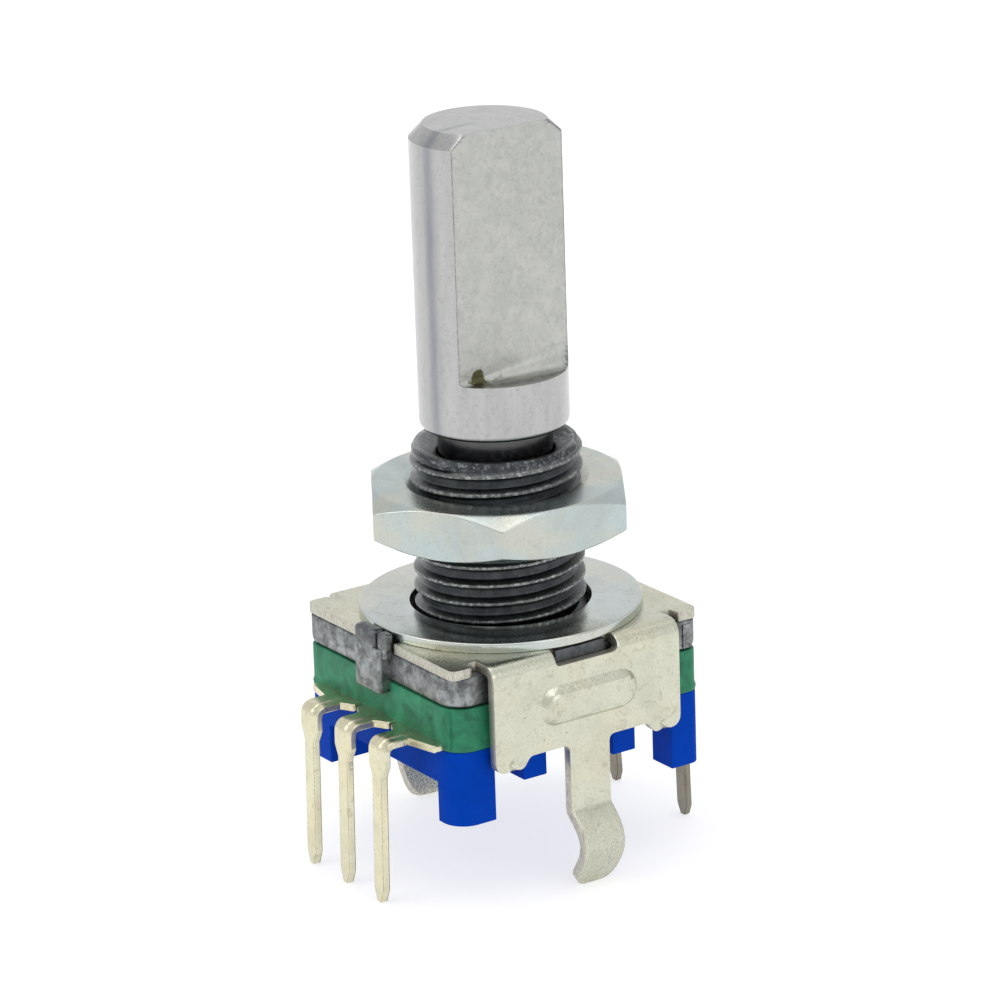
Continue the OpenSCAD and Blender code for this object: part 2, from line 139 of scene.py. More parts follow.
def square_reach(angle, half_x, half_y, corner):
    """Distance from the centre to the outline of a rectangle with round corners, in each direction.

    It is the nearer of the two straight sides, half_x / |cos| and half_y / |sin|. Where that point
    lies past both ends of the sides, it is the far crossing of the ray with the corner's circle:
    d·C + sqrt((d·C)² - C² + corner²), with C the circle's centre and d the direction.
    """
    c, s = np.abs(np.cos(angle)), np.abs(np.sin(angle))
    flat = np.minimum(half_x / np.maximum(c, TINY), half_y / np.maximum(s, TINY))
    cx, cy = half_x - corner, half_y - corner
    along = c * cx + s * cy
    root = np.maximum(along**2 - cx**2 - cy**2 + corner**2, 0)
    in_corner = (flat * c > cx) & (flat * s > cy)
    return np.where(in_corner, along + np.sqrt(root), flat)


def soften(corners, radii, steps=4):
    """Rounds the corners of an open profile, which is an array of (corner, column, coordinate).

    Each inner corner becomes the quadratic curve (1-t)²A + 2t(1-t)C + t²B, where A and B lie
    radius away from the corner C on its two sides, or at 0.48 of the shorter side if that is less.
    """
    inner = corners[1:-1]
    back, ahead = corners[:-2] - inner, corners[2:] - inner
    back_l = np.linalg.norm(back, axis=-1, keepdims=True)
    ahead_l = np.linalg.norm(ahead, axis=-1, keepdims=True)
    reach = np.asarray(radii, float).reshape(-1, 1, 1) * np.ones_like(back_l)
    reach = np.minimum(reach, 0.48 * np.minimum(back_l, ahead_l))
    a = inner + back / np.maximum(back_l, TINY) * reach
    b = inner + ahead / np.maximum(ahead_l, TINY) * reach
    t = np.linspace(0, 1, steps + 1).reshape(-1, 1, 1, 1)
    curve = (1 - t) ** 2 * a + 2 * t * (1 - t) * inner + t**2 * b
    curve = np.swapaxes(curve, 0, 1).reshape(-1, *corners.shape[1:])
    return np.concatenate([corners[:1], curve, corners[-1:]])


def profile(columns, *points):
    """Corners of a profile as (corner, column, 2): a point is a radius and a height, or arrays of them."""
    rows = [np.stack([np.broadcast_to(r, columns), np.broadcast_to(z, columns)], -1) for r, z in points]
    return np.array(rows, float)


def around(rows, angle, centre=(0, 0)):
    """Carries rows of (radius, height) round the axis: x = radius·cos, y = radius·sin."""
    radius, height = rows[..., 0], rows[..., 1]
    x = centre[0] + radius * np.cos(angle)
    y = centre[1] + radius * np.sin(angle)
    return np.stack([x, y, height], -1)


def skin(rows, closed=False):
    """Points and four-sided faces over rows of points whose last column lies on the first one.

    closed also joins the last row to the first. That seam, and a row that has shrunk to one
    point, close when put() merges doubles.
    """
    n, m = rows.shape[:2]
    i = np.arange(n if closed else n - 1)[:, None]
    j = np.arange(m - 1)[None, :]
    i1, j1 = (i + 1) % n, j + 1
    corners = [i * m + j, i * m + j1, i1 * m + j1, i1 * m + j]
    faces = np.stack([np.broadcast_to(c, (i.shape[0], m - 1)) for c in corners], -1).reshape(-1, 4)
    points = rows.reshape(-1, 3)
    a, b, c, d = (points[faces[:, k]] for k in range(4))
    volume = (a * np.cross(b, c)).sum() + (a * np.cross(c, d)).sum()
    return points, faces if volume > 0 else faces[:, ::-1]


def link(name, data):
    """A new object of a mesh, a camera or a light, in the scene."""
    obj = bpy.data.objects.new(name, data)
    bpy.context.scene.collection.objects.link(obj)
    return obj


@contextmanager
def editing(mesh):
    """A mesh opened for editing, and written back afterwards."""
    made = bmesh.new()
    made.from_mesh(mesh)
    yield made
    made.to_mesh(mesh)
    made.free()


def put(name, shells, attributes=None):
    """Makes one object of several closed shells of (points in millimetres, faces), doubles merged.

    attributes are numbers per point, by name, which the object's material reads.
    """
    mesh = bpy.data.meshes.new(name)
    starts = np.cumsum([0] + [len(p) for p, f in shells])
    points = np.concatenate([p for p, f in shells]) * MM
    faces = [f for (p, quads), s in zip(shells, starts) for f in (quads + s).tolist()]
    mesh.from_pydata(points.tolist(), [], faces)
    for key, values in (attributes or {}).items():
        layer = mesh.attributes.new(key, "FLOAT", "POINT")
        full = np.zeros(len(points), np.float32)
        full[: np.size(values)] = np.ravel(values)
        layer.data.foreach_set("value", full)
    with editing(mesh) as made:
        bmesh.ops.remove_doubles(made, verts=made.verts, dist=0.0004 * MM)
    return shade(link(name, mesh))


def shade(obj, sharp=SHARP):
    """Smooth shading, with creases kept where faces meet at more than the sharp angle."""
    mesh = obj.data
    mesh.polygons.foreach_set("use_smooth", np.ones(len(mesh.polygons), bool))
    mesh.set_sharp_from_angle(angle=sharp)
    mesh.update()
    return obj


def settle(obj, body, slot, finish, *nodes):
    """Gives a piece its finish and its body, and lets it stand for its CAD nodes; slot is not used."""
    obj.data.materials.clear()
    for material in finish if isinstance(finish, (list, tuple)) else [finish]:
        obj.data.materials.append(material)
    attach(obj, body)
    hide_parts(*nodes)
    return obj


def soft_block(low, high, corner, edge, columns=48):
    """A block between two corners with round upright corners and soft upper and lower edges."""
    low, high = np.array(low, float), np.array(high, float)
    centre, half = (low + high) / 2, (high - low) / 2
    bend = math.atan2(half[1], half[0])
    gathered = [bend, math.pi - bend, math.pi + bend, -bend]
    angle = ring_angles(columns, gathered, spread=1.6 * corner / math.hypot(*half[:2]), extra=12)
    reach = square_reach(angle, half[0], half[1], corner)
    rows = profile(len(angle), (0, low[2]), (reach, low[2]), (reach, high[2]), (0, high[2]))
    return skin(around(soften(rows, [edge, edge]), angle, centre[:2]))


def helix_rows(angle, low, high, pitch, crest_at, root, crest, per_turn=14):
    """Rows of a right-handed screw thread, as (row, column, 2) of radius and height.

    Row k keeps to one place on the thread's outline, so creases follow the helix: its height is
    crest_at + pitch·(k / per_turn + angle / turn), held between low and high. With s the share of
    a pitch from the nearest crest, the radius falls from crest to root as s passes the flank.
    """
    turns = math.ceil((high - low) / pitch) + 2
    start = math.floor((low - crest_at) / pitch) - 1
    k = np.arange(turns * per_turn + 1)[:, None] / per_turn + start
    height = np.clip(crest_at + pitch * (k + angle / TURN), low, high)
    share = (height - crest_at) / pitch - angle / TURN
    share = np.abs((share + 0.5) % 1 - 0.5)
    radius = crest - (crest - root) * smooth(share, 0.04, 0.33)
    return np.stack([radius, height], -1)


def strip(path, left, right, thickness, edge, rib=0.0, across=27):
    """A strip of sheet metal along X-upright path points (y, z), closed at both ends.

    The section is a rectangle with round edges: its points are a share of the half width on
    their side less an inset, and plus or minus half the thickness along the path's normal. rib
    raises the middle third of both faces. left and right are half widths per path point.
    """
    step = np.gradient(path, axis=0)
    step /= np.linalg.norm(step, axis=1, keepdims=True)
    normal = np.stack([step[:, 1], -step[:, 0]], -1)
    k = np.linspace(-1, 1, across)
    share = np.concatenate([k, [1, 1], k[::-1], [-1, -1]])
    inset = np.where(np.abs(share) == 1, edge, 0.0)
    inset[across : across + 2] = inset[-2:] = 0
    half = thickness / 2
    lift = np.full(len(share), half)
    lift[across:] = -half
    lift[across : across + 2] = [half - edge, edge - half]
    lift[-2:] = [edge - half, half - edge]
    half_width = np.where(share[None, :] < 0, left[:, None], right[:, None])
    x = share * half_width - np.sign(share) * inset
    raised = np.asarray(rib).reshape(-1, 1) * (1 - smooth(np.abs(x), 0.17, 0.25))
    lift = lift + raised
    y = path[:, :1] + normal[:, :1] * lift
    z = path[:, 1:] + normal[:, 1:] * lift
    rows = np.stack([x, y, z], -1)
    cap = rows.mean(axis=1, keepdims=True) * np.ones((1, rows.shape[1], 1))
    rows = np.concatenate([cap[:1], rows, cap[-1:]])
    return skin(np.concatenate([rows, rows[:, :1]], axis=1))


def route(points, radii, spacing=0.06):
    """A path of (y, z) points with round corners, at even spacing along its length."""
    corners = np.array(points, float)[:, None, :]
    path = soften(corners, radii, steps=10)[:, 0]
    length = np.concatenate([[0], np.cumsum(np.linalg.norm(np.diff(path, axis=0), axis=1))])
    at = np.linspace(0, length[-1], max(2, round(length[-1] / spacing)))
    return np.stack([np.interp(at, length, path[:, 0]), np.interp(at, length, path[:, 1])], -1)


# Finishes


class Finish:
    """Builds one procedural material out of a few kinds of node. Every pattern is in object metres."""

    def __init__(self, name, **sockets):
        self.material = bpy.data.materials.new(name)
        self.material.use_nodes = True
        self.tree = self.material.node_tree
        self.shader = self.tree.nodes["Principled BSDF"]
        for key, value in sockets.items():
            self.shader.inputs[key.replace("_", " ")].default_value = value
        self.place = self.tree.nodes.new("ShaderNodeTexCoord").outputs["Object"]
        self.bumps = None

    def add(self, kind, *links, **values):
        """A node of a kind: links go to its inputs in order, and values set its properties."""
        node = self.tree.nodes.new("ShaderNode" + kind)
        for key, value in values.items():
            setattr(node, key, value)
        for index, link in enumerate(links):
            self.feed(node.inputs[index], link)
        return node

    def feed(self, socket, value):
        """Links a socket, or sets it to a number."""
        if isinstance(value, bpy.types.NodeSocket):
            self.tree.links.new(value, socket)
        elif value is not None:
            socket.default_value = value

    def noise(self, size, detail=3.0, rough=0.55, stretch=(1, 1, 1), warp=0.0):
        """Noise between 0 and 1 with features of about size millimetres, stretched along the axes."""
        mapping = self.add("Mapping", self.place)
        mapping.inputs["Scale"].default_value = [1 / (size * MM * s) for s in stretch]
        node = self.add("TexNoise", mapping.outputs[0])
        for key, value in (("Scale", 1.0), ("Detail", detail), ("Roughness", rough), ("Distortion", warp)):
            node.inputs[key].default_value = value
        return node.outputs["Fac"]

    def cells(self, size):
        """Distance to the nearest of scattered points about size millimetres apart."""
        mapping = self.add("Mapping", self.place)
        mapping.inputs["Scale"].default_value = [1 / (size * MM)] * 3
        node = self.add("TexVoronoi", mapping.outputs[0])
        node.inputs["Scale"].default_value = 1.0
        return node.outputs["Distance"]

    def span(self, value, low, high, out_low=0.0, out_high=1.0):
        """Maps low..high onto out_low..out_high, and holds it there."""
        node = self.add("MapRange", value, low, high, out_low, out_high, clamp=True)
        return node.outputs[0]

    def math(self, operation, a, b=None):
        """One of the Math node's operations."""
        return self.add("Math", a, b, operation=operation).outputs[0]

    def mix(self, share, a, b):
        """Colour a where share is 0 and colour b where it is 1."""
        node = self.add("Mix", data_type="RGBA")
        self.feed(node.inputs[0], share)
        for index, value in ((6, a), (7, b)):
            if not isinstance(value, bpy.types.NodeSocket):
                value = (*value[:3], 1.0)
            self.feed(node.inputs[index], value)
        return node.outputs[2]

    def attribute(self, name):
        """A number that the mesh holds per point."""
        return self.add("Attribute", attribute_name=name).outputs["Fac"]

    def bump(self, height, depth, strength=1.0):
        """Adds a height pattern, depth in millimetres, over the bumps so far."""
        node = self.add("Bump")
        node.inputs["Strength"].default_value = strength
        node.inputs["Distance"].default_value = depth * MM
        self.feed(node.inputs["Height"], height)
        if self.bumps is not None:
            self.feed(node.inputs["Normal"], self.bumps)
        self.bumps = node.outputs[0]

    def along(self, axis):
        """Place along an axis: 0 for X, 1 for Y, 2 for Z."""
        return self.add("SeparateXYZ", self.place).outputs[axis]

    def off(self, axis, middle):
        """Squared distance along an axis from a place in millimetres."""
        gap = self.math("ABSOLUTE", self.math("SUBTRACT", self.along(axis), middle * MM))
        return self.math("POWER", gap, 2.0)

    def done(self, colour, roughness=None):
        """The finished material, with its colour, roughness and bumps linked."""
        self.feed(self.shader.inputs["Base Color"], colour)
        if roughness is not None:
            self.feed(self.shader.inputs["Roughness"], roughness)
        if self.bumps is not None:
            self.feed(self.shader.inputs["Normal"], self.bumps)
        return self.material


def tint(colour, factor):
    """A colour made lighter or darker."""
    return [min(1.0, c * factor) for c in colour[:3]]


def plated_metal(name, colour, stain, gloss=0.28, cloud=1.4, pits=0.5, scratch=0.4, grain=0.002,
                 hue=0.012, peened=0.0):
    """Plated sheet: soft clouds of colour, duller stained patches, fine pits, scratches and grain.

    hue is how far the colour wanders between warm and cool, and peened is how deep the hammered
    skin below the board is, in millimetres.
    """
    f = Finish(name, Metallic=1.0)
    clouds = f.noise(cloud, 4.0, 0.6, warp=0.6)
    fine = f.noise(0.12, 3.0, 0.6)
    warm = [colour[0] * (1 + hue), colour[1], colour[2] * (1 - 2 * hue)]
    cool = [colour[0] * (1 - 2 * hue), colour[1], colour[2] * (1 + hue)]
    paint = f.mix(f.span(f.noise(2.6, 2.0), 0.42, 0.58), cool, warm)
    paint = f.mix(f.span(clouds, 0.4, 0.75, 0.0, 0.6), paint, tint(colour, 0.8))
    patches = f.span(f.noise(0.55, 6.0, 0.7, warp=1.0), 0.56, 0.72)
    paint = f.mix(f.math("MULTIPLY", patches, 0.45 + 0.2 * pits), paint, stain)
    flecks = f.span(f.noise(0.15, 5.0, 0.75, stretch=(1, 1, 0.7)), 0.63, 0.7)
    paint = f.mix(f.math("MULTIPLY", flecks, 0.55 * pits), paint, tint(stain, 0.7))
    paint = f.mix(f.span(fine, 0.5, 0.68, 0.0, 0.2 + 0.3 * pits), paint, tint(colour, 0.72))
    spots = f.span(f.cells(0.42), 0.0, 0.12, 1.0, 0.0)
    spots = f.math("MULTIPLY", spots, f.span(f.noise(0.9, 2.0), 0.5, 0.62))
    spots = f.math("MULTIPLY", spots, pits)
    paint = f.mix(spots, paint, tint(stain, 0.45))
    lines = f.noise(0.05, 2.0, 0.5, stretch=(14, 1, 14))
    lines = f.span(lines, 0.58, 0.72, 0.0, scratch)
    rough = f.span(clouds, 0.3, 0.75, gloss * 0.8, gloss * 1.35)
    rough = f.math("ADD", rough, f.math("MULTIPLY", lines, 0.25))
    rough = f.math("ADD", rough, f.math("MULTIPLY", patches, 0.12))
    f.bump(fine, grain * 4)
    f.bump(f.noise(0.7, 3.0), grain * 5, 0.6)
    f.bump(f.math("SUBTRACT", 1.0, spots), 0.01)
    f.bump(lines, -0.002, 0.5)
    if peened:
        share = f.span(f.along(2), -0.2 * MM, -1.2 * MM)
        f.bump(f.math("MULTIPLY", share, f.noise(0.11, 3.0, 0.7)), peened)
    return f.done(paint, rough)


def moulded_plastic(name, colour, gloss=0.38, mottle=0.25, lines=0.0, shine=0.3):
    """A moulding: uneven pigment, a fine spark-eroded skin and faint flow lines along Z."""
    f = Finish(name, Specular_IOR_Level=shine)
    clouds = f.noise(1.1, 5.0, 0.66, warp=0.8)
    paint = f.mix(f.span(clouds, 0.3, 0.72), tint(colour, 1 + mottle), tint(colour, 1 - mottle))
    scuffs = f.span(f.noise(0.35, 5.0, 0.7, stretch=(1, 1, 2)), 0.6, 0.78)
    paint = f.mix(f.math("MULTIPLY", scuffs, 0.3), paint, tint(colour, 1.35))
    rough = f.span(f.noise(0.8, 3.0), 0.3, 0.7, gloss * 0.85, gloss * 1.25)
    f.bump(f.noise(0.1, 2.0, 0.6), 0.004)
    if lines:
        f.bump(f.noise(0.06, 2.0, stretch=(1, 1, 12)), lines)
    return f.done(paint, rough)


def shaft_finish(c, spot):
    """Turned steel: streaks along the shaft, a duller mottled milled flat and a neck painted near-black as
    shade under the shoulder.

    A dark worn line runs along the flat's edges, and grime lies in its corner, thickest round
    spot, which is a place in Y and Z in millimetres.
    """
    f = Finish("shaft_metal", Metallic=1.0)
    milled, grime, oiled = f.attribute("milled"), f.attribute("grime"), f.attribute("oiled")
    streaks = f.noise(0.5, 4.0, 0.6, stretch=(1, 1, 7))
    clouds = f.noise(1.1, 6.0, 0.66, warp=0.4)
    turned = f.mix(f.span(streaks, 0.3, 0.7), tint(c, 1.08), tint(c, 0.9))
    # A dark, bluish reflection is painted as a band down one side of the shaft.
    band = f.math("MULTIPLY", f.attribute("band"), f.span(streaks, 0.3, 0.6, 0.5, 0.75))
    turned = f.mix(band, turned, (c[0] * 0.45, c[1] * 0.47, c[2] * 0.58))
    blotches = f.noise(0.6, 6.0, 0.72, warp=0.8)
    flat = f.mix(f.span(blotches, 0.36, 0.64), [c[0] * 1.15, c[1] * 1.15, c[2] * 1.10],
                 [c[0] * 0.97, c[1] * 0.98, c[2] * 0.94])
    paint = f.mix(milled, turned, flat)
    nicks = f.span(f.noise(0.13, 4.0, 0.6, stretch=(1, 1, 1.8)), 0.665, 0.72)
    paint = f.mix(f.math("MULTIPLY", nicks, 0.55), paint, tint(c, 0.4))
    across = f.math("MULTIPLY", f.math("MULTIPLY", milled, f.math("SUBTRACT", 1.0, milled)), 3.6)
    worn = f.math("MULTIPLY", across, f.span(f.noise(0.25, 4.0, 0.7), 0.35, 0.6, 0.25, 0.9))
    paint = f.mix(worn, paint, tint(c, 0.22))
    specks = f.span(f.noise(0.2, 5.0, 0.7), 0.52, 0.68, 0.0, 0.4)
    paint = f.mix(specks, paint, tint(c, 0.66))
    away = f.math("POWER", f.math("ADD", f.off(1, spot[0]), f.off(2, spot[1])), 0.5)
    away = f.math("ADD", away, f.span(f.noise(0.3, 4.0, 0.6), 0.3, 0.7, -0.16 * MM, 0.16 * MM))
    dirt = f.math("MULTIPLY", milled, f.span(away, 0.3 * MM, 0.4 * MM, 1.0, 0.0))
    smear = f.span(f.noise(0.3, 4.0, 0.7, stretch=(1, 2, 1)), 0.55, 0.62, 0.0, 0.6)
    smear = f.math("MULTIPLY", grime, smear)
    paint = f.mix(f.math("MAXIMUM", dirt, smear), paint, (0.10, 0.095, 0.045))
    # The neck and everything below the shoulder are painted near-black: painted shade under the shoulder.
    paint = f.mix(f.math("MULTIPLY", oiled, 0.85), paint, (0.03, 0.03, 0.032))
    rough = f.span(clouds, 0.3, 0.7, 0.17, 0.25)
    rough = f.math("ADD", rough, f.math("MULTIPLY", milled, 0.22))
    f.bump(f.noise(0.09, 2.0, 0.6), 0.004, 0.6)
    f.bump(f.noise(0.04, 2.0, stretch=(30, 30, 1)), 0.0012, 0.5)
    f.bump(f.math("MULTIPLY", milled, f.noise(0.3, 5.0, 0.7, stretch=(1, 1.5, 0.8))), 0.012, 0.6)
    scrape = f.noise(0.2, 4.0, 0.7, stretch=(1, 6, 1))
    f.bump(f.math("MULTIPLY", grime, scrape), 0.05, 0.7)
    return f.done(paint, rough)


def zinc_casting_finish(c, dark):
    """Die-cast zinc: mottled grey with painted shade at the edges by the base and the bracket, and
    a dark thread with painted highlights and bright specks on its crests, painted shade in its
    valleys and a -X side painted lighter, as lit.

    The lug's top is darker, the blocks in the bracket's slots are painted darker as shade under
    the folds, and the bushing's mouth is scraped.
    """
    f = Finish("die_cast_zinc", Metallic=1.0)
    crest, thread, edge = f.attribute("crest"), f.attribute("thread"), f.attribute("edge")
    clouds = f.noise(0.5, 6.0, 0.72, warp=0.5)
    fine = f.noise(0.08, 4.0, 0.65)
    body = f.mix(f.span(clouds, 0.38, 0.62), tint(c, 1.2), tint(c, 0.42))
    # Painted shade along the edges where the casting meets the base and the bracket's plate.
    shadow = f.math("MULTIPLY", edge, f.span(clouds, 0.3, 0.6, 0.45, 1.0))
    body = f.mix(shadow, body, tint(dark, 1.2))
    # Lighter crests flecked with bright specks are painted highlights, and the darker valleys painted
    # shade, over the thread's dark zinc.
    worn = f.span(crest, 0.7, 0.98)
    crest_glints = f.math("MULTIPLY", worn, f.span(f.noise(0.2, 5.0, 0.75), 0.48, 0.62, 0.05, 0.9))
    screw = f.mix(f.span(crest, 0.1, 0.9), tint(dark, 0.85), tint(c, 0.36))
    screw = f.mix(f.math("MULTIPLY", f.span(clouds, 0.45, 0.7), 0.4), screw, tint(c, 0.5))
    east, height = f.along(0), f.along(2)
    # The blocks in the bracket's slots are painted darker, as shade under the folds.
    slot_shade = f.span(east, (BASE_HIGH[0] + 0.1) * MM, (BASE_HIGH[0] + 0.16) * MM, 0.0, 0.8)
    body = f.mix(slot_shade, body, tint(dark, 1.5))
    outside = f.span(f.along(1), (BASE_LOW[1] + 0.1) * MM, (BASE_LOW[1] - 0.05) * MM)
    above = f.span(height, (BRACKET_HIGH[2] - 0.3) * MM, BRACKET_HIGH[2] * MM, 0.0, 0.6)
    body = f.mix(f.math("MULTIPLY", outside, above), body, tint(dark, 1.6))
    # The thread's -X side is painted lighter, as its lit side.
    screw = f.mix(f.span(east, -0.2 * MM, -2.2 * MM, 0.0, 0.6), screw, tint(c, 0.9))
    screw = f.mix(crest_glints, screw, tint(c, 1.5))
    scraped = f.span(height, (HOUSING_HIGH[2] - 0.6) * MM, (HOUSING_HIGH[2] - 0.2) * MM, 0.0, 0.5)
    scraped = f.math("MULTIPLY", scraped, f.span(f.noise(0.16, 5.0, 0.75, stretch=(4, 1, 1)), 0.52, 0.62))
    screw = f.mix(scraped, screw, tint(c, 1.3))
    paint = f.mix(thread, body, screw)
    specks = f.span(fine, 0.62, 0.7)
    paint = f.mix(f.math("MULTIPLY", specks, 0.5), paint, tint(c, 0.3))
    rough = f.span(clouds, 0.3, 0.7, 0.36, 0.5)
    rough = f.math("SUBTRACT", rough, f.math("MULTIPLY", thread, 0.1))
    f.bump(fine, 0.012, 0.7)
    f.bump(f.noise(0.25, 4.0, 0.6), 0.03, 0.7)
    return f.done(paint, rough)


def cut_edge_finish(name, colour):
    """The sheared edge of a plated strip: bare, brownish, with upright shear marks."""
    f = Finish(name, Metallic=1.0)
    marks = f.noise(0.07, 4.0, 0.7, stretch=(1, 1, 3))
    paint = f.mix(f.span(marks, 0.35, 0.65), tint(colour, 1.15), tint(colour, 0.75))
    f.bump(marks, 0.006)
    return f.done(paint, f.span(marks, 0.3, 0.7, 0.35, 0.55))


# Settings


def length(name, default, description):
    """A length property whose default is given in millimetres."""
    return FloatProperty(name=name, default=default * MM, unit="LENGTH", precision=5,
                         description=description)


def colour(name, default, description):
    """A colour property."""
    return FloatVectorProperty(name=name, default=default, size=3, min=0, max=1, subtype="COLOR",
                               description=description)


class ShaftSettings(bpy.types.PropertyGroup):
    """Sizes of the shaft"""
    thickness: length("Thickness at flat", 4.5, "Thickness of the shaft across its flat")
    flat: length("Flat length", 10, "Length of the flat, from the tip down")
    chamfer: length("Tip chamfer", 0.55, "Chamfer round the tip")
    shoulder: length("Shoulder height", BRACKET_HIGH[2] + 7.7, "Height of the shoulder over the board")
    foot: length("Foot rounding", 0.35, "Rounding of the shoulder's lower edge")
    neck: length("Neck diameter", 4.6, "Diameter of the neck inside the bushing")
    stem: length("Stem radius", 1.9, "Radius of the keyed stem under the neck")
    groove: length("Groove radius", 1.88, "Radius of the retaining ring's groove")
    point: length("Point radius", 1.2, "Radius of the point that presses the plunger")
    key: length("Key half width", 1.45, "Distance of each key flat from the axis")
    scoop_low: length("Scoop at -Y", 0.22, "Radius left by the cutter at the flat's -Y corner")
    scoop_high: length("Scoop at +Y", 0.95, "Radius left by the cutter at the flat's +Y corner")
    # Angle of the dark reflection that is painted along the shaft.
    band: FloatProperty(name="Band", default=math.radians(-83), subtype="ANGLE",
                        description="Angle of the darker band that runs along the shaft")
    grime_y: length("Grime place", -1.72, "Place in Y of the grime on the flat")
    grime_up: length("Grime height", 0.18, "Height of the grime's middle over the flat's end")
    metal: colour("Metal", (0.452, 0.457, 0.45), "Colour of the shaft")


class HousingSettings(bpy.types.PropertyGroup):
    """Sizes of the die-cast housing and its thread"""
    crest: length("Crest diameter", 6.9, "Diameter over the thread's crests")
    depth: length("Thread depth", 0.3, "Depth of the thread on the radius")
    pitch: length("Thread pitch", 0.75, "Distance from crest to crest")
    crest_at: length("Crest height", 9.4, "Height of one crest over the board, at +X")
    chamfer: length("Bushing chamfer", 0.2, "Chamfer round the bushing's mouth")
    mouth: length("Countersink diameter", 6.15, "Diameter of the countersink's mouth")
    sink: length("Countersink depth", 0.4, "Depth of the countersink")
    bore: length("Bore diameter", 4.7, "Diameter of the bore")
    corner: length("Corner radius", 0.45, "Radius of the body's upright corners")
    front_corner: length("Front corner radius", 1.0, "Radius of the upright corner at +X and -Y")
    edge: length("Edge rounding", 0.16, "Rounding of the casting's upper and lower edges")
    cavity_wall: length("Cavity wall", 0.45, "Wall between the round cavity and the nearer sides")
    roof: length("Cavity roof", 0.5, "Thickness of the flange over the cavity")
    metal: colour("Metal", (0.30, 0.314, 0.314), "Colour of the casting")
    dark: colour("Thread", (0.05, 0.054, 0.06), "Colour of the thread's valleys")


class FastenerSettings(bpy.types.PropertyGroup):
    """Sizes of the nut and washer"""
    turn: FloatProperty(name="Nut turn", default=math.radians(-32), subtype="ANGLE",
                        description="Angle of the nut's first corner from +X")
    across: length("Nut across flats", 10, "Width of the nut across its flats")
    countersink: length("Nut countersink", 0.32, "Depth of the countersinks in the nut's bore")
    chamfer: FloatProperty(name="Nut chamfer", default=math.radians(30), subtype="ANGLE",
                           description="Slope of the nut's corner chamfers")
    minor: length("Nut bore", 6.2, "Diameter inside the nut's thread")
    major: length("Nut groove", 7.0, "Diameter at the bottom of the nut's thread")
    hole: length("Washer hole", 7.3, "Diameter of the washer's hole")
    edge: length("Edge rounding", 0.07, "Rounding of the nut's and washer's edges")
    nut: colour("Nut", (0.525, 0.558, 0.535), "Colour of the nut's zinc")
    washer: colour("Washer", (0.58, 0.605, 0.58), "Colour of the washer's zinc")


class BracketSettings(bpy.types.PropertyGroup):
    """Sizes of the bracket"""
    sheet: length("Sheet", 0.4, "Thickness of the sheet")
    fold: length("Fold radius", 0.6, "Outside radius of the folds")
    gap: length("Side gap", 0.3, "Gap between the body and a side wall")
    hole_play: length("Hole play", 0.28, "Gap between the thread's crests and the plate's hole")
    slot: length("Slot width", 3, "Width in Y of the slot in each fold")
    wall: length("Wall width", 8.9, "Width of a side wall")
    wall_bottom: length("Wall bottom", 2.6, "Height of the side wall's middle over the board")
    lobe: length("Lobe drop", 0.45, "How far the wall's outer lobes reach below its middle")
    leg: length("Leg width", 1.9, "Width of a mounting leg")
    straight: length("Leg straight", 0.3, "How far below the board a leg stays straight")
    bulge: length("Leg bulge", 0.9, "How far a leg bulges out")
    rib_length: length("Rib length", 4.5, "Length of the embossed rib")
    rib_width: length("Rib width", 1.45, "Width of the embossed rib")
    rib_height: length("Rib height", 0.36, "Height of the embossed rib")
    rib_down: length("Rib drop", 2.2, "How far below the plate's top the rib's middle lies")
    dent_y: length("Dent place", 3.64, "Distance in Y of the staking dents from the middle")
    dent_z: length("Dent height", 2.42, "Height of the staking dents over the board")
    dent: length("Dent depth", 0.17, "Depth of the staking dents")
    metal: colour("Plating", (0.645, 0.64, 0.52), "Colour of the plating")
    stain: colour("Stain", (0.30, 0.28, 0.20), "Colour of its stains")


class MouldingSettings(bpy.types.PropertyGroup):
    """Sizes and colours of the two mouldings"""
    lip: length("Lip", 0.06, "How far the contact base's lower edge stands out")
    lip_height: length("Lip height", 0.22, "Height of that lip")
    edge: length("Edge rounding", 0.09, "Rounding of the mouldings' edges")
    floor: length("Base floor", 0.6, "Thickness of the contact base's floor")
    hole: length("Base hole radius", 1.6, "Radius of the hole in the contact base's floor")
    block: length("Block height", 1.65, "Height of the switch housing's underside over the board")
    foot_copied: length("Foot width", 1.85, "Width in Y of the switch housing's feet")
    foot_slim: length("Slim foot width", 1.42, "Width in Y of the foot at +X and +Y")
    green: colour("Contact base", (0.022, 0.17, 0.088), "Colour of the contact base")
    blue: colour("Switch housing", (0.0, 0.043, 0.38), "Colour of the switch housing")


class PinSettings(bpy.types.PropertyGroup):
    """Sizes of the terminals and pins"""
    spacing: length("Spacing", 2.5, "Spacing of the pins")
    row: length("Row distance", 7.6, "Distance of the encoder terminals from the axis")
    sheet: length("Sheet", 0.3, "Thickness of the encoder terminals")
    riser: length("Riser distance", 3.5, "Distance of the outer terminals' risers from the axis")
    middle_riser: length("Middle riser distance", 4.3, "The same for the middle terminal")
    tip: length("Tip half width", 0.13, "Half the width left at a pin's tip")
    brush: length("Brush sheet", 0.12, "Thickness of the brushes")
    rib: length("Rib height", 0.045, "Height of the rib along a terminal")
    shoulder: length("Shoulder width", 1.2, "Width of a terminal's shoulder")
    pin: length("Pin width", 0.7, "Width of a pin")
    ear: length("Inner ear", 1.15, "Reach of an ear beside another terminal")
    outer_ear: length("Outer ear", 2.0, "Reach of an ear at the row's end")
    splay: length("Splay", 0.16, "How far the pins lean out at their tips")
    switch_sheet: length("Switch pin sheet", 0.25, "Thickness of the switch pins")
    tin: colour("Tin", (0.76, 0.72, 0.525), "Colour of the terminals")
    dull: colour("Switch pins", (0.29, 0.265, 0.215), "Colour of the switch pins")


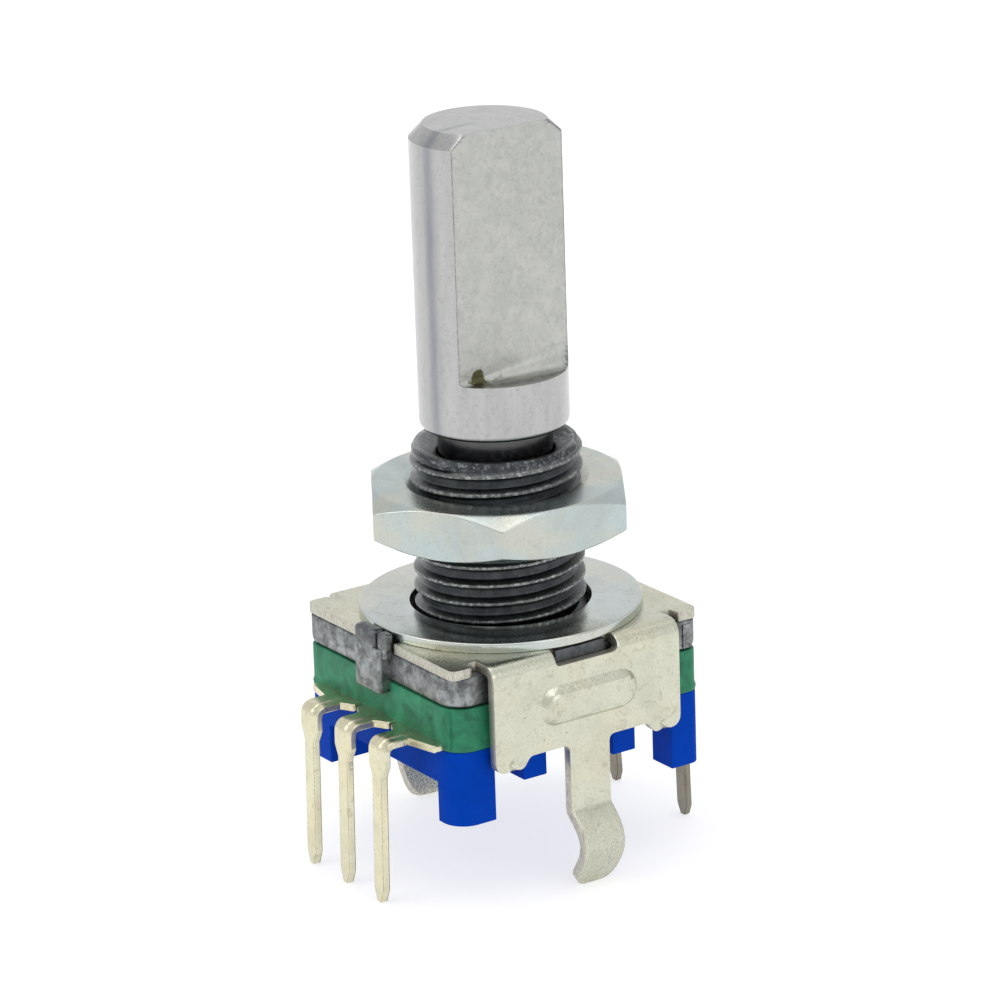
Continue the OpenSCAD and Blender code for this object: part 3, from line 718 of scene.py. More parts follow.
class StageSettings(bpy.types.PropertyGroup):
    """The camera and the stage"""
    azimuth: FloatProperty(name="Azimuth", default=math.radians(56.381), subtype="ANGLE",
                           description="Camera's direction round the object, from -Y towards +X")
    elevation: FloatProperty(name="Elevation", default=math.radians(18.404), subtype="ANGLE",
                             description="Camera's height over the horizon")
    roll: FloatProperty(name="Roll", default=math.radians(-1.95), subtype="ANGLE",
                        description="Camera's turn about its line of sight")
    distance: length("Distance", 186.823, "Camera's distance from its target")
    target: length("Target height", 11.026, "Height of the camera's target over the board")
    aside: length("Aside", 0.106, "Camera's shift to its right")
    lens: FloatProperty(name="Focal length", default=168.52, subtype="DISTANCE_CAMERA",
                        description="Focal length on a 36 mm sensor, in millimetres")
    floor: colour("Floor", (0.42, 0.42, 0.42), "Colour of the floor")


SETTINGS = {
    "encoder_shaft": ShaftSettings,
    "encoder_housing": HousingSettings,
    "encoder_fasteners": FastenerSettings,
    "encoder_bracket": BracketSettings,
    "encoder_mouldings": MouldingSettings,
    "encoder_pins": PinSettings,
    "encoder_stage": StageSettings,
}


class Millimetres:
    """Reads a settings group's lengths in millimetres and its other values as they are."""

    def __init__(self, group):
        self.group = group

    def __getattr__(self, key):
        value = getattr(self.group, key)
        unit = self.group.bl_rna.properties[key].unit
        return value / MM if unit == "LENGTH" else value


def settings(context, key):
    """The scene's settings under a key, read in millimetres."""
    return Millimetres(getattr(context.scene, key))


# Pieces


class ENCODER_OT_stage(bpy.types.Operator):
    """Make the camera, the floor and the soft lights"""
    bl_idname = "encoder.stage"
    bl_label = "Stage"

    def execute(self, context):
        s = settings(context, "encoder_stage")
        self.camera(context, s)
        self.floor(s)
        self.lights(context)
        return {"FINISHED"}

    def camera(self, context, s):
        """Places the camera on its line of sight, turned about it by roll."""
        a, e, r = s.azimuth, s.elevation, s.roll
        back = Vector((math.sin(a) * math.cos(e), -math.cos(a) * math.cos(e), math.sin(e)))
        level = Vector((math.cos(a), math.sin(a), 0))
        up = back.cross(level)
        right = level * math.cos(r) + up * math.sin(r)
        above = up * math.cos(r) - level * math.sin(r)
        turn = Matrix((right, above, back)).transposed()
        data = bpy.data.cameras.new("camera")
        data.lens = s.lens
        data.sensor_width = 36
        data.clip_start, data.clip_end = 0.01, 10
        camera = link("camera", data)
        camera.location = (Vector((0, 0, s.target)) + back * s.distance + right * s.aside) * MM
        camera.rotation_mode = "QUATERNION"
        camera.rotation_quaternion = turn.to_quaternion()
        context.scene.camera = camera

    def floor(self, s):
        """A wide plane just under the pins."""
        side, height = 1.5, CAD_BOX[0].z - 0.05 * MM
        mesh = bpy.data.meshes.new("floor")
        corners = [(x * side, y * side, height) for x, y in ((-1, -1), (1, -1), (1, 1), (-1, 1))]
        mesh.from_pydata(corners, [], [(0, 1, 2, 3)])
        floor = link("floor", mesh)
        f = Finish("stage_floor", Roughness=0.9, Emission_Color=(1, 1, 1, 1), Emission_Strength=0.64)
        paint = f.mix(f.noise(30, 2.0), tint(s.floor, 0.99), tint(s.floor, 1.01))
        mesh.materials.append(f.done(paint))

    def lights(self, context):
        """Large soft panels of a given size and glow round the object, and a pale sky."""
        panels = (
            ("key", (-0.16, -0.50, 0.36), 0.34, 1.4),
            ("fill", (0.54, 0.10, 0.26), 0.34, 0.9),
            ("top", (0.05, -0.05, 0.60), 0.56, 1.0),
            ("back", (-0.50, 0.34, 0.24), 0.50, 0.1),
        )
        for name, place, size, glow in panels:
            data = bpy.data.lights.new(name, "AREA")
            data.size = size
            data.energy = glow * math.pi * size**2
            light = link(name, data)
            light.location = place
            aim = Vector((0, 0, 0.01)) - light.location
            light.rotation_mode = "QUATERNION"
            light.rotation_quaternion = aim.to_track_quat("-Z", "Y")
        world = bpy.data.worlds.new("sky")
        context.scene.world = world
        world.use_nodes = True
        sky = world.node_tree.nodes["Background"]
        sky.inputs["Color"].default_value = (0.99, 0.995, 1.0, 1)
        sky.inputs["Strength"].default_value = 0.82
        context.scene.view_settings.view_transform = "Standard"


class ENCODER_OT_shaft(bpy.types.Operator):
    """Make the shaft: turned steel with a milled flat, a shoulder and a keyed lower end"""
    bl_idname = "encoder.shaft"
    bl_label = "Shaft"

    def execute(self, context):
        s = settings(context, "encoder_shaft")
        radius = (SHAFT_HIGH[1] - SHAFT_LOW[1]) / 2
        flat_x = s.thickness - radius
        half = math.acos(flat_x / radius)
        angle = ring_angles(180, (half, -half), spread=0.09, extra=36)
        columns = len(angle)
        facing = np.cos(angle)
        ahead = np.where(facing > 0.1, flat_x / np.maximum(facing, 0.1), FAR)
        lower = self.lower_end(s, radius, columns)
        key_low, key_high = self.key_span()
        on_key = (lower[..., 1] > key_low - TINY) & (lower[..., 1] < key_high + TINY)
        key = s.key / np.maximum(np.abs(facing), 0.05)
        lower[..., 0] = np.where(on_key, np.minimum(lower[..., 0], key), lower[..., 0])
        upper, milled, grime = self.upper_end(s, radius, flat_x, ahead, angle)
        rows = np.concatenate([lower, upper])
        blank = np.zeros(lower.shape[:2])
        marks = {"milled": np.concatenate([blank, milled]), "grime": np.concatenate([blank, grime]),
                 # This mark sets where the dark reflection band is painted down one side of the shaft.
                 "band": np.exp(-((angle - s.band % TURN) / 0.1) ** 2) * np.ones(rows.shape[:2]),
                 # This mark sets where the neck and the parts below the shoulder get painted shade.
                 "oiled": (rows[..., 1] < s.shoulder + 0.1) & (rows[..., 0] < s.neck / 2 + 0.15)}
        obj = put("steel_shaft", [skin(around(rows, angle))], marks)
        spot = (s.grime_y, SHAFT_HIGH[2] - s.flat + s.grime_up)
        settle(obj, "shaft_group", "shaft_metal", shaft_finish(s.metal, spot), "shaft")
        return {"FINISHED"}

    def key_span(self):
        """Lowest and highest point of the keyed part, which slides in the rotor."""
        return box("rotor")[0][2] + travel("shaft_push") + SLACK, RING_LOW[2] - SLACK

    def lower_end(self, s, radius, columns):
        """Stem, keyed part, ring groove, neck and shoulder, from the bottom pole up to the full radius."""
        key_low, key_high = self.key_span()
        groove_high = RING_HIGH[2] + SLACK
        corners = profile(
            columns, (0, SHAFT_LOW[2]), (s.point, SHAFT_LOW[2]), (s.point, key_low), (s.stem, key_low),
            (s.stem, key_high), (s.groove, key_high), (s.groove, groove_high), (s.neck / 2, groove_high),
            (s.neck / 2, s.shoulder), (radius, s.shoulder), (radius, s.shoulder + 1.2))
        return soften(corners, [0.15, 0, 0, 0, 0, 0, 0, 0, s.foot], steps=6)[:-1]

    def upper_end(self, s, radius, flat_x, ahead, angle):
        """The D-shaped end, with its marks for the milled flat and the grime in its corner.

        Rows pass up the cylinder, in along the flat's floor, up the cutter's quarter circle, whose
        radius grows from the -Y corner to the +Y corner, and up the flat to the chamfered tip.
        Every radius is the least of the cylinder's, the chamfer cone's and flat / cos(angle).
        """
        top, step = SHAFT_HIGH[2], SHAFT_HIGH[2] - s.flat
        side = flat_x * np.tan(np.where(ahead < radius * 1.02, angle, 0))
        reach = math.sqrt(radius**2 - flat_x**2)
        scoop = s.scoop_low + (s.scoop_high - s.scoop_low) * smooth(side, -reach * 0.8, reach)
        turn = np.linspace(0, math.pi / 2, 9)[:, None]
        floor_x = flat_x + scoop - scoop * np.sin(turn)
        floor_z = step + scoop - scoop * np.cos(turn)
        start, end = step + scoop, top - s.chamfer
        up = np.linspace(0, 1, 9)[1:, None]
        flat_z = start + (end - 0.05 - start) * up
        cone = np.linspace(0, 1, 7)[:, None]
        tip_z = end + (top - end) * cone + np.zeros_like(angle)
        z = np.concatenate([
            np.full((1, len(angle)), step - 0.06), np.full((1, len(angle)), step), floor_z, flat_z, tip_z])
        straight = len(flat_z) + len(tip_z)
        x = np.concatenate([
            np.full((2, len(angle)), FAR), floor_x, np.full((straight, len(angle)), flat_x)])
        ratio = ahead / flat_x
        limit = radius - np.maximum(z - end, 0)
        r = least(limit, x * ratio, 0.012)
        dish = np.array([0.985, 0.9, 0.5, 0.0])[:, None]
        lid = np.stack([r[-1] * dish, np.full((4, len(angle)), top)], -1)
        milled = smooth(limit - x * ratio, -0.03, 0.05)
        above = np.maximum(z - step, 0)
        grime = milled * np.exp(-above / 0.35) * smooth(-side, -0.2 * reach, reach * 0.5)
        blank = np.zeros((4, len(angle)))
        return (np.concatenate([np.stack([r, z], -1), lid]), np.concatenate([milled, blank]),
                np.concatenate([grime, blank]))


class ENCODER_OT_housing(bpy.types.Operator):
    """Make the die-cast housing: threaded bushing, flange, locating lug and side blocks"""
    bl_idname = "encoder.housing"
    bl_label = "Housing"

    def execute(self, context):
        s = settings(context, "encoder_housing")
        b = settings(context, "encoder_bracket")
        angle, reach = body_outline(s)
        columns = len(angle)
        plate = BRACKET_HIGH[2] - b.sheet
        low, high = BASE_HIGH[2], HOUSING_HIGH[2]
        crest, cavity = s.crest / 2, min(BASE_HIGH[:2]) - s.cavity_wall
        flange = profile(
            columns, (cavity, plate - s.roof), (cavity, low), (reach - 0.08, low + 0.02),
            (reach, low + 0.3), (reach, plate - 0.01), (crest + 0.05, plate - 0.01), (crest, plate))
        flange = soften(flange, [0.05, s.edge, 0.1, 0.12, 0.05], steps=5)
        screw, depth = self.screw(s, angle, plate, high)
        rim = profile(
            columns, (crest - s.chamfer, high), (s.mouth / 2, high), (s.bore / 2, high - s.sink),
            (s.bore / 2, plate - s.roof), (cavity, plate - s.roof))
        rim = soften(rim, [0.05, 0.1, 0], steps=4)[:-1]
        rows = np.concatenate([flange, screw, rim])
        start, end = len(flange), len(flange) + len(screw)
        crest_mark, thread_mark, edge_shade = np.zeros((3, *rows.shape[:2]))
        # This mark sets where the thread's finish paints highlights on the crests and shade in the valleys.
        crest_mark[start:end] = depth
        thread_mark[start:] = 1
        crest_mark[end : end + 4] = 0.9
        height = rows[..., 1]
        gap = np.minimum(np.abs(height - low), np.abs(height - plate))
        # This mark sets where shade is painted on the flange next to the base and the bracket's plate.
        edge_shade[:start] = 1 - smooth(gap[:start], 0.02, 0.2)
        shells = [skin(around(rows, angle), closed=True), *self.lug(plate), *self.side_blocks()]
        marks = {"crest": crest_mark, "thread": thread_mark, "edge": edge_shade}
        obj = put("die_cast_housing", shells, marks)
        settle(obj, "body", "die_cast_zinc", zinc_casting_finish(s.metal, s.dark), "housing")
        return {"FINISHED"}

    def screw(self, s, angle, low, high):
        """The thread's rows, and how near each point is to a crest, from 0 to 1.

        The last turn fills up to a collar and the bushing's end narrows to its chamfer.
        """
        crest = s.crest / 2
        root = crest - s.depth
        rows = helix_rows(angle, low, high, s.pitch, s.crest_at, root, crest)
        nearness = (rows[..., 0] - root) / s.depth
        cone = crest - s.chamfer * smooth(rows[..., 1], high - 1.6 * s.chamfer, high)
        collar = (root + 0.7 * s.depth) * smooth(rows[..., 1], high - s.pitch, high - 0.4)
        rows[..., 0] = np.minimum(np.maximum(rows[..., 0], collar), cone)
        return rows, nearness

    def lug(self, plate):
        """The locating lug: a tall block beside the stump of the gate it was cast through."""
        face, out = BASE_LOW[1], HOUSING_LOW[1]
        low, high = HOUSING_LOW[2], BRACKET_HIGH[2] + 0.4
        inner = -WASHER_HIGH[0] - 0.06
        return [
            soft_block((-1.05, out + 0.03, plate - 0.6), (0.32, inner, high), 0.2, 0.2),
            soft_block((-1.05, out, low), (0.78, face + 0.5, plate + 0.12), 0.16, 0.14),
            soft_block((0.40, out + 0.16, plate - 0.3), (0.98, inner, high - 0.06), 0.16, 0.1),
            soft_block((0.32, out + 0.3, plate - 0.3), (0.62, inner, high - 0.25), 0.1, 0.05),
        ]

    def side_blocks(self):
        """Blocks that show through the bracket's folds, and the steps by the +X and +Y corner."""
        low, high = BASE_HIGH[2], BRACKET_HIGH[2] - 0.12
        edge = BASE_HIGH[0]
        blocks = [
            soft_block((s * edge - 0.3, -1.22, low + 0.05), (s * edge + 0.26, 1.22, high), 0.12, 0.1)
            for s in (-1, 1)]
        steps = [
            soft_block((edge - 0.2, y, low + 0.12), (edge + 0.07, y + w, high - 0.45), 0.05, 0.05)
            for y, w in ((4.62, 0.30), (5.12, 0.42))]
        return blocks + steps


def body_outline(s):
    """Angles and outline distances of the body's square, with its one larger corner at +X and -Y."""
    half_x, half_y = BASE_HIGH[:2]
    bend = math.atan2(half_y, half_x)
    gathered = (bend, math.pi - bend, math.pi + bend, TURN - bend)
    angle = ring_angles(168, gathered, spread=0.13, extra=26)
    reach = square_reach(angle, half_x, half_y, s.corner)
    front = square_reach(angle, half_x, half_y, s.front_corner)
    return angle, np.where(angle > 1.5 * math.pi, front, reach)


class ENCODER_OT_fasteners(bpy.types.Operator):
    """Make the panel nut and its washer"""
    bl_idname = "encoder.fasteners"
    bl_label = "Nut and washer"

    def execute(self, context):
        s = settings(context, "encoder_fasteners")
        h = settings(context, "encoder_housing")
        self.nut(s, h)
        self.washer(s)
        return {"FINISHED"}

    def nut(self, s, h):
        """A hexagonal ring with a threaded bore.

        At each angle its reach is apothem / cos(angle from the nearest flat), and the chamfer
        drops by (reach - apothem)·tan(chamfer), which gives the flats curved tops.
        """
        low, high = NUT_LOW[2], NUT_HIGH[2]
        apothem = s.across / 2
        corners = s.turn + np.arange(6) * TURN / 6
        angle = ring_angles(180, corners % TURN, spread=0.07, extra=20)
        off = (angle - s.turn) % (TURN / 6) - TURN / 12
        corner = np.full_like(off, apothem / math.cos(TURN / 12) - 0.03)
        reach = least(apothem / np.cos(off), corner, 0.02)
        drop = (reach - apothem) * math.tan(s.chamfer)
        minor, major = s.minor / 2, s.major / 2
        start, end, mouth = low + s.countersink, high - s.countersink, major + 0.22
        outer = profile(
            len(angle), (minor, end), (mouth, high), (apothem - 0.02, high), (reach, high - drop - 0.02),
            (reach, low + drop + 0.02), (apothem - 0.02, low), (mouth, low), (minor, start))
        outer = soften(outer, [s.edge, s.edge * 1.5, s.edge, s.edge, s.edge * 1.5, s.edge], steps=4)
        inner = helix_rows(angle, start, end, h.pitch, h.crest_at, minor, major)
        rows = np.concatenate([outer, inner[1:-1]])
        obj = put("panel_nut", [skin(around(rows, angle), closed=True)])
        zinc = plated_metal("zinc_nut", s.nut, (0.42, 0.44, 0.38), gloss=0.27, cloud=2.2, pits=0.25,
                            scratch=0.5, hue=0.04)
        settle(obj, "nut", "zinc_nut", zinc, "hex_nut")

    def washer(self, s):
        """A flat ring with soft edges."""
        low, high = WASHER_LOW[2], WASHER_HIGH[2]
        outer, inner = WASHER_HIGH[0], s.hole / 2
        angle = ring_angles(200)
        middle = (outer + inner) / 2
        rows = profile(
            len(angle), (middle, low), (outer, low), (outer, high), (inner, high), (inner, low),
            (middle, low))
        rows = soften(rows, [0.05, s.edge * 1.4, s.edge, 0.05], steps=4)[:-1]
        obj = put("plain_washer", [skin(around(rows, angle), closed=True)])
        zinc = plated_metal("zinc_washer", s.washer, (0.40, 0.41, 0.34), gloss=0.17, cloud=1.8, pits=0.3,
                            scratch=0.6, grain=0.0012, hue=0.025)
        settle(obj, "washer", "zinc_washer", zinc, "panel_washer")


class ENCODER_OT_bracket(bpy.types.Operator):
    """Make the bracket: one sheet folded down both sides, with ribs, lobes and snap-in legs"""
    bl_idname = "encoder.bracket"
    bl_label = "Bracket"

    def execute(self, context):
        s = settings(context, "encoder_bracket")
        h = settings(context, "encoder_housing")
        flat, faces = self.pattern(s, h)
        points = self.fold(s, flat)
        obj = put_sheet("folded_bracket", points, faces, s.sheet, 0.1)
        plating = plated_metal("plated_sheet", s.metal, s.stain, gloss=0.25, cloud=1.2, pits=0.9,
                               scratch=0.35, grain=0.003, peened=0.07)
        edge = cut_edge_finish("plated_sheet_edge", (0.56, 0.54, 0.47))
        settle(obj, "body", "plated_sheet", [plating, edge], "frame_bracket")
        return {"FINISHED"}

    def spans(self, s):
        """Where the fold starts, how long its middle line is, and where the wall starts going down."""
        start = BASE_HIGH[0] + s.gap + s.sheet - s.fold
        arc = (s.fold - s.sheet / 2) * math.pi / 2
        return start, arc, BRACKET_HIGH[2] - s.fold

    def pattern(self, s, h):
        """The flat pattern: u runs across the plate and on down the walls, v is Y."""
        start, arc, wall_top = self.spans(s)

        def down(z):
            """How far out the pattern reaches a height z on the wall."""
            return start + arc + wall_top - z

        half_x, half_y, wall = BASE_HIGH[0], BASE_HIGH[1], s.wall / 2
        lobe_z, leg = s.wall_bottom - s.lobe, s.leg / 2
        tip = down(BRACKET_LOW[2])
        notch = start - 0.65
        side = [
            (half_x, -half_y, 0.35), (half_x, -wall - 0.5, 0.12), (notch, -wall - 0.42, 0.15),
            (notch, -wall, 0.15), (down(lobe_z), -wall, 0.5), (down(lobe_z), -wall + 1.3, 0.18),
            (down(s.wall_bottom), -wall + 1.62, 0.18), (down(s.wall_bottom), -leg, 0.3),
            (tip, -leg, 0.75)]
        right = side + [(u, -v, r) for u, v, r in side[::-1]]
        left = [(-u, -v, r) for u, v, r in right]
        lug = [(-1.12, -half_y, 0.1), (-1.12, -half_y + 0.7, 0.1), (1.12, -half_y + 0.7, 0.1),
               (1.12, -half_y, 0.1)]
        outline = even_loop(lug + right + left, 0.14)
        hole = ring_angles(150)[:-1]
        radius = h.crest / 2 + s.hole_play
        hole = np.stack([radius * np.cos(hole), radius * np.sin(hole)], -1)
        slots = []
        for side_sign in (-1, 1):
            lo, hi, half = start - 0.3, start + arc, s.slot / 2
            corners = [(lo, -half, 0.3), (hi, -half, 0.22), (hi, half, 0.3), (lo, half, 0.3)]
            slots.append(even_loop([(side_sign * u, v, r) for u, v, r in corners], 0.07))
        us = np.concatenate([
            np.arange(0.15, start, 0.28), start + np.linspace(0, arc, 8),
            np.arange(start + arc + 0.12, tip, 0.13)])
        us = np.concatenate([-us[::-1], us])
        vs = np.arange(-half_y + 0.1, half_y, 0.14)
        inside = np.stack(np.meshgrid(us, vs, indexing="ij"), -1).reshape(-1, 2)
        return fill_outline([outline, hole, *slots], inside, 0.07)

    def fold(self, s, flat):
        """Bends the flat pattern: straight over the plate, a quarter circle at the fold, then down.

        The leg leaves the wall's plane by bulge·sin(180°·t^0.8)^1.3, with t the share of its way
        from straight to tip. The rib stands out by a soft step of the distance from its middle
        line, and the staking dents go in by one of the distance from their middles.
        """
        start, arc, _ = self.spans(s)
        u, v = flat[:, 0], flat[:, 1]
        middle = s.fold - s.sheet / 2
        past = np.abs(u) - start
        turn = np.clip(past, 0, arc) / middle
        x = np.where(past < 0, np.abs(u), start + middle * np.sin(turn))
        z = BRACKET_HIGH[2] - s.sheet / 2 - middle * (1 - np.cos(turn)) - np.maximum(past - arc, 0)
        tip = BRACKET_LOW[2]
        t = np.clip((-s.straight - z) / (-s.straight - tip), 0, 1)
        x = x + s.bulge * np.sin(math.pi * t**0.8) ** 1.3
        run = np.maximum(np.abs(v) - (s.rib_length - s.rib_width) / 2, 0)
        away = np.hypot(run, z - BRACKET_HIGH[2] + s.rib_down)
        rib = 1 - smooth(away, s.rib_width / 2 - 0.3, s.rib_width / 2)
        x = x + s.rib_height * rib * (past > 0)
        off = np.hypot(np.abs(v) - s.dent_y, z - s.dent_z)
        x = x - s.dent * (1 - smooth(off, 0.05, 0.3)) * (past > 0)
        return np.stack([np.sign(u) * x, v, z], -1)


def even_loop(corners, spacing):
    """A closed outline of (u, v, radius) corners: corners rounded, then points at about even spacing."""
    points = np.array([c[:2] for c in corners], float)
    radii = np.array([c[2] for c in corners], float)
    wrapped = np.concatenate([points[-1:], points, points[:1]])[:, None, :]
    loop = soften(wrapped, radii, steps=6)[1:-1, 0]
    nxt = np.roll(loop, -1, axis=0)
    steps = np.maximum(1, np.ceil(np.linalg.norm(nxt - loop, axis=1) / spacing)).astype(int)
    index = np.repeat(np.arange(len(loop)), steps)
    part = np.arange(len(index)) - np.repeat(np.cumsum(steps) - steps, steps)
    share = (part / steps[index])[:, None]
    return loop[index] * (1 - share) + nxt[index] * share


def fill_outline(loops, inside, margin):
    """Triangles over the first loop less the others, with the inside points that keep clear of them."""
    rim = np.concatenate(loops)
    apart = inside[:, None] - rim[None]
    gap = np.min(np.hypot(apart[..., 0], apart[..., 1]), axis=1)
    keep = inside[gap > margin]
    edges, first = [], 0
    for loop in loops:
        n = np.arange(len(loop))
        edges += np.stack([first + n, first + (n + 1) % len(loop)], -1).tolist()
        first += len(loop)
    points = [Vector(p) for p in np.concatenate([rim, keep]).tolist()]
    made, _, faces, *_ = delaunay_2d_cdt(points, edges, [], 1, 1e-6)
    made, faces = np.array([p[:] for p in made]), np.array([list(f) for f in faces])
    centre = made[faces].mean(axis=1)
    open_area = np.any([within(loop, centre) for loop in loops[1:]], axis=0)
    return made, faces[within(loops[0], centre) & ~open_area]


def within(loop, points):
    """Whether each point lies in a loop: a ray towards +u crosses the loop an odd number of times."""
    a, b = loop, np.roll(loop, -1, axis=0)
    u, v = points[:, :1], points[:, 1:]
    rise = np.where(a[:, 1] == b[:, 1], TINY, b[:, 1] - a[:, 1])
    crossing = ((a[:, 1] > v) != (b[:, 1] > v)) & (u < (b[:, 0] - a[:, 0]) * (v - a[:, 1]) / rise + a[:, 0])
    return crossing.sum(axis=1) % 2 == 1


def put_sheet(name, points, faces, thickness, bevel):
    """A sheet of metal round a middle surface, with rounded edges and its rim in a second finish."""
    mesh = bpy.data.meshes.new(name)
    mesh.from_pydata((points * MM).tolist(), [], faces.tolist())
    with editing(mesh) as made:
        bmesh.ops.recalc_face_normals(made, faces=made.faces)
    obj = link(name, mesh)
    solid = obj.modifiers.new("sheet", "SOLIDIFY")
    solid.thickness = thickness * MM
    solid.offset = 0
    solid.use_even_offset = True
    solid.material_offset_rim = 1
    return shade(round_edges(obj, bevel))


def round_edges(obj, width, segments=2):
    """Rounds a piece's edges wherever its faces meet at more than about 50 degrees."""
    bevel = obj.modifiers.new("edges", "BEVEL")
    bevel.width = width * MM
    bevel.segments = segments
    bevel.use_clamp_overlap = True
    bevel.limit_method = "ANGLE"
    bevel.angle_limit = math.radians(50)
    bevel.harden_normals = False
    return obj


def merged_copy(node, name):
    """A CAD node's own shape as one mesh whose triangles share their corners."""
    mesh = frame["nodes"][node].data.copy()
    mesh.name = name
    with editing(mesh) as made:
        bmesh.ops.remove_doubles(made, verts=made.verts, dist=0.001 * MM)
    return shade(link(name, mesh), math.radians(30))


def softened_copy(node, name, width, foot):
    """A CAD node's own shape as one merged mesh with rounded edges.

    foot is (y, new y, z): in the +X half, the face that lies at y below z moves to the new y.
    """
    obj = merged_copy(node, name)
    with editing(obj.data) as made:
        for vert in made.verts:
            if vert.co.x > 0 and vert.co.z < foot[2] * MM and abs(vert.co.y - foot[0] * MM) < 0.02 * MM:
                vert.co.y = foot[1] * MM
        bmesh.ops.dissolve_limit(made, angle_limit=math.radians(1), verts=made.verts, edges=made.edges)
    return shade(round_edges(obj, width, segments=3), math.radians(30))


class ENCODER_OT_mouldings(bpy.types.Operator):
    """Make the green contact base and the blue switch housing"""
    bl_idname = "encoder.mouldings"
    bl_label = "Mouldings"

    def execute(self, context):
        s = settings(context, "encoder_mouldings")
        h = settings(context, "encoder_housing")
        self.contact_base(s, h)
        high = box("switch_housing")[1]
        foot = (high[1] - s.foot_copied, high[1] - s.foot_slim, s.block + 1.0)
        blue = softened_copy("switch_housing", "blue_switch_housing", s.edge, foot)
        plastic = moulded_plastic("blue_moulding", s.blue, gloss=0.45, mottle=0.1, shine=0.03)
        settle(blue, "body", "blue_moulding", plastic, "switch_housing")
        return {"FINISHED"}

    def contact_base(self, s, h):
        """A square cup with a round cavity, a lip along its lower edge and a thin mould line."""
        angle, reach = body_outline(h)
        low, high = BASE_LOW[2], BASE_HIGH[2]
        floor, cavity = low + s.floor, min(BASE_HIGH[:2]) - h.cavity_wall
        lip, lip_top = reach + s.lip, low + s.lip_height
        rows = profile(
            len(angle), (cavity * 0.7, low), (lip - 0.04, low), (lip, lip_top), (reach, lip_top + 0.12),
            (reach, high), (cavity, high), (cavity, floor), (s.hole, floor), (s.hole, low),
            (cavity * 0.7, low))
        rows = soften(rows, [0.08, 0.1, 0.1, 0.05, 0.05, 0.1, 0.05, 0.05], steps=4)[:-1]
        shells = [skin(around(rows, angle), closed=True)]
        x, face = BASE_HIGH[0] - 0.47, BASE_LOW[1]
        corner_low, corner_high = (x, face - 0.03, low + 0.1), (x + 0.05, face + 0.1, high - 0.12)
        witness = soft_block(corner_low, corner_high, 0.02, 0.02, 24)
        obj = put("green_contact_base", [*shells, witness])
        plastic = moulded_plastic("green_moulding", s.green, gloss=0.4, mottle=0.5, lines=0.003, shine=0.22)
        settle(obj, "body", "green_moulding", plastic, "contact_base")


class ENCODER_OT_terminals(bpy.types.Operator):
    """Make the three encoder terminals, each a bent strip with ears, a raised rib and two brushes"""
    bl_idname = "encoder.terminals"
    bl_label = "Encoder terminals"

    def execute(self, context):
        s = settings(context, "encoder_pins")
        tin = plated_metal("terminal_metal", s.tin, (0.30, 0.22, 0.10), gloss=0.27, cloud=1.0, pits=0.5,
                           scratch=0.5, grain=0.002)
        for node, side in (("terminal_a", -1), ("terminal_c", 0), ("terminal_b", 1)):
            obj = put("bent_" + node, self.shells(s, node, side))
            settle(obj, "body", "terminal_metal", tin, node)
        return {"FINISHED"}

    def shells(self, s, node, side):
        """The strip goes down its riser, out under the base, round the bend and down to its point.

        Outward and downward both lower y + z, so q = -y - z grows all the way along the path, and
        the half widths are read off against q.
        """
        low = box(node)[0]
        tip_z = low[2]
        level = BASE_LOW[2] + s.sheet / 2
        riser = s.riser if side else s.middle_riser
        face = -BASE_LOW[1]
        path = route([(-riser, level + 0.5), (-riser, level), (-s.row, level), (-s.row - s.splay, tip_z)],
                     [0.15, 0.36])
        q = -path[:, 0] - path[:, 1]
        out = face - level
        shoulder, pin = s.shoulder / 2, s.pin / 2
        bottom = s.row - BASE_LOW[2]
        end = s.row + s.splay - tip_z
        places = [out - 0.3, out, out + 0.4, out + 0.7, bottom + 0.75, bottom + 1.25, end - 0.55, end]

        def widths(ear):
            """Half widths along the path, with an ear of a given reach beside the base."""
            return np.interp(q, places, [shoulder, ear, ear, shoulder, shoulder, pin, pin, s.tip])

        left = widths(s.outer_ear if side < 0 else s.ear)
        right = widths(s.outer_ear if side > 0 else s.ear)
        rib = s.rib * smooth(q, out + 0.1, out + 0.4) * (1 - smooth(q, bottom + 0.5, bottom + 1.2))
        shells = [strip(path, left, right, s.sheet, 0.05, rib)]
        code_z = box("code_plate")[0][2]
        start = BASE_LOW[2] + 0.66
        for shift in (-1, 1):
            bend, contact = (-riser + 0.25, start), (-riser + 1.3, code_z - 0.09)
            finger = route([(-riser - 0.1, start), bend, contact], [0.1])
            half = np.full(len(finger), s.shoulder / 4 - 0.06)
            shells.append(strip(finger, half, half, s.brush, 0.03))
            shells[-1][0][:, 0] += shift * (s.shoulder / 4 + 0.03)
        for points, _ in shells:
            points[:, 0] += side * s.spacing
        return shells


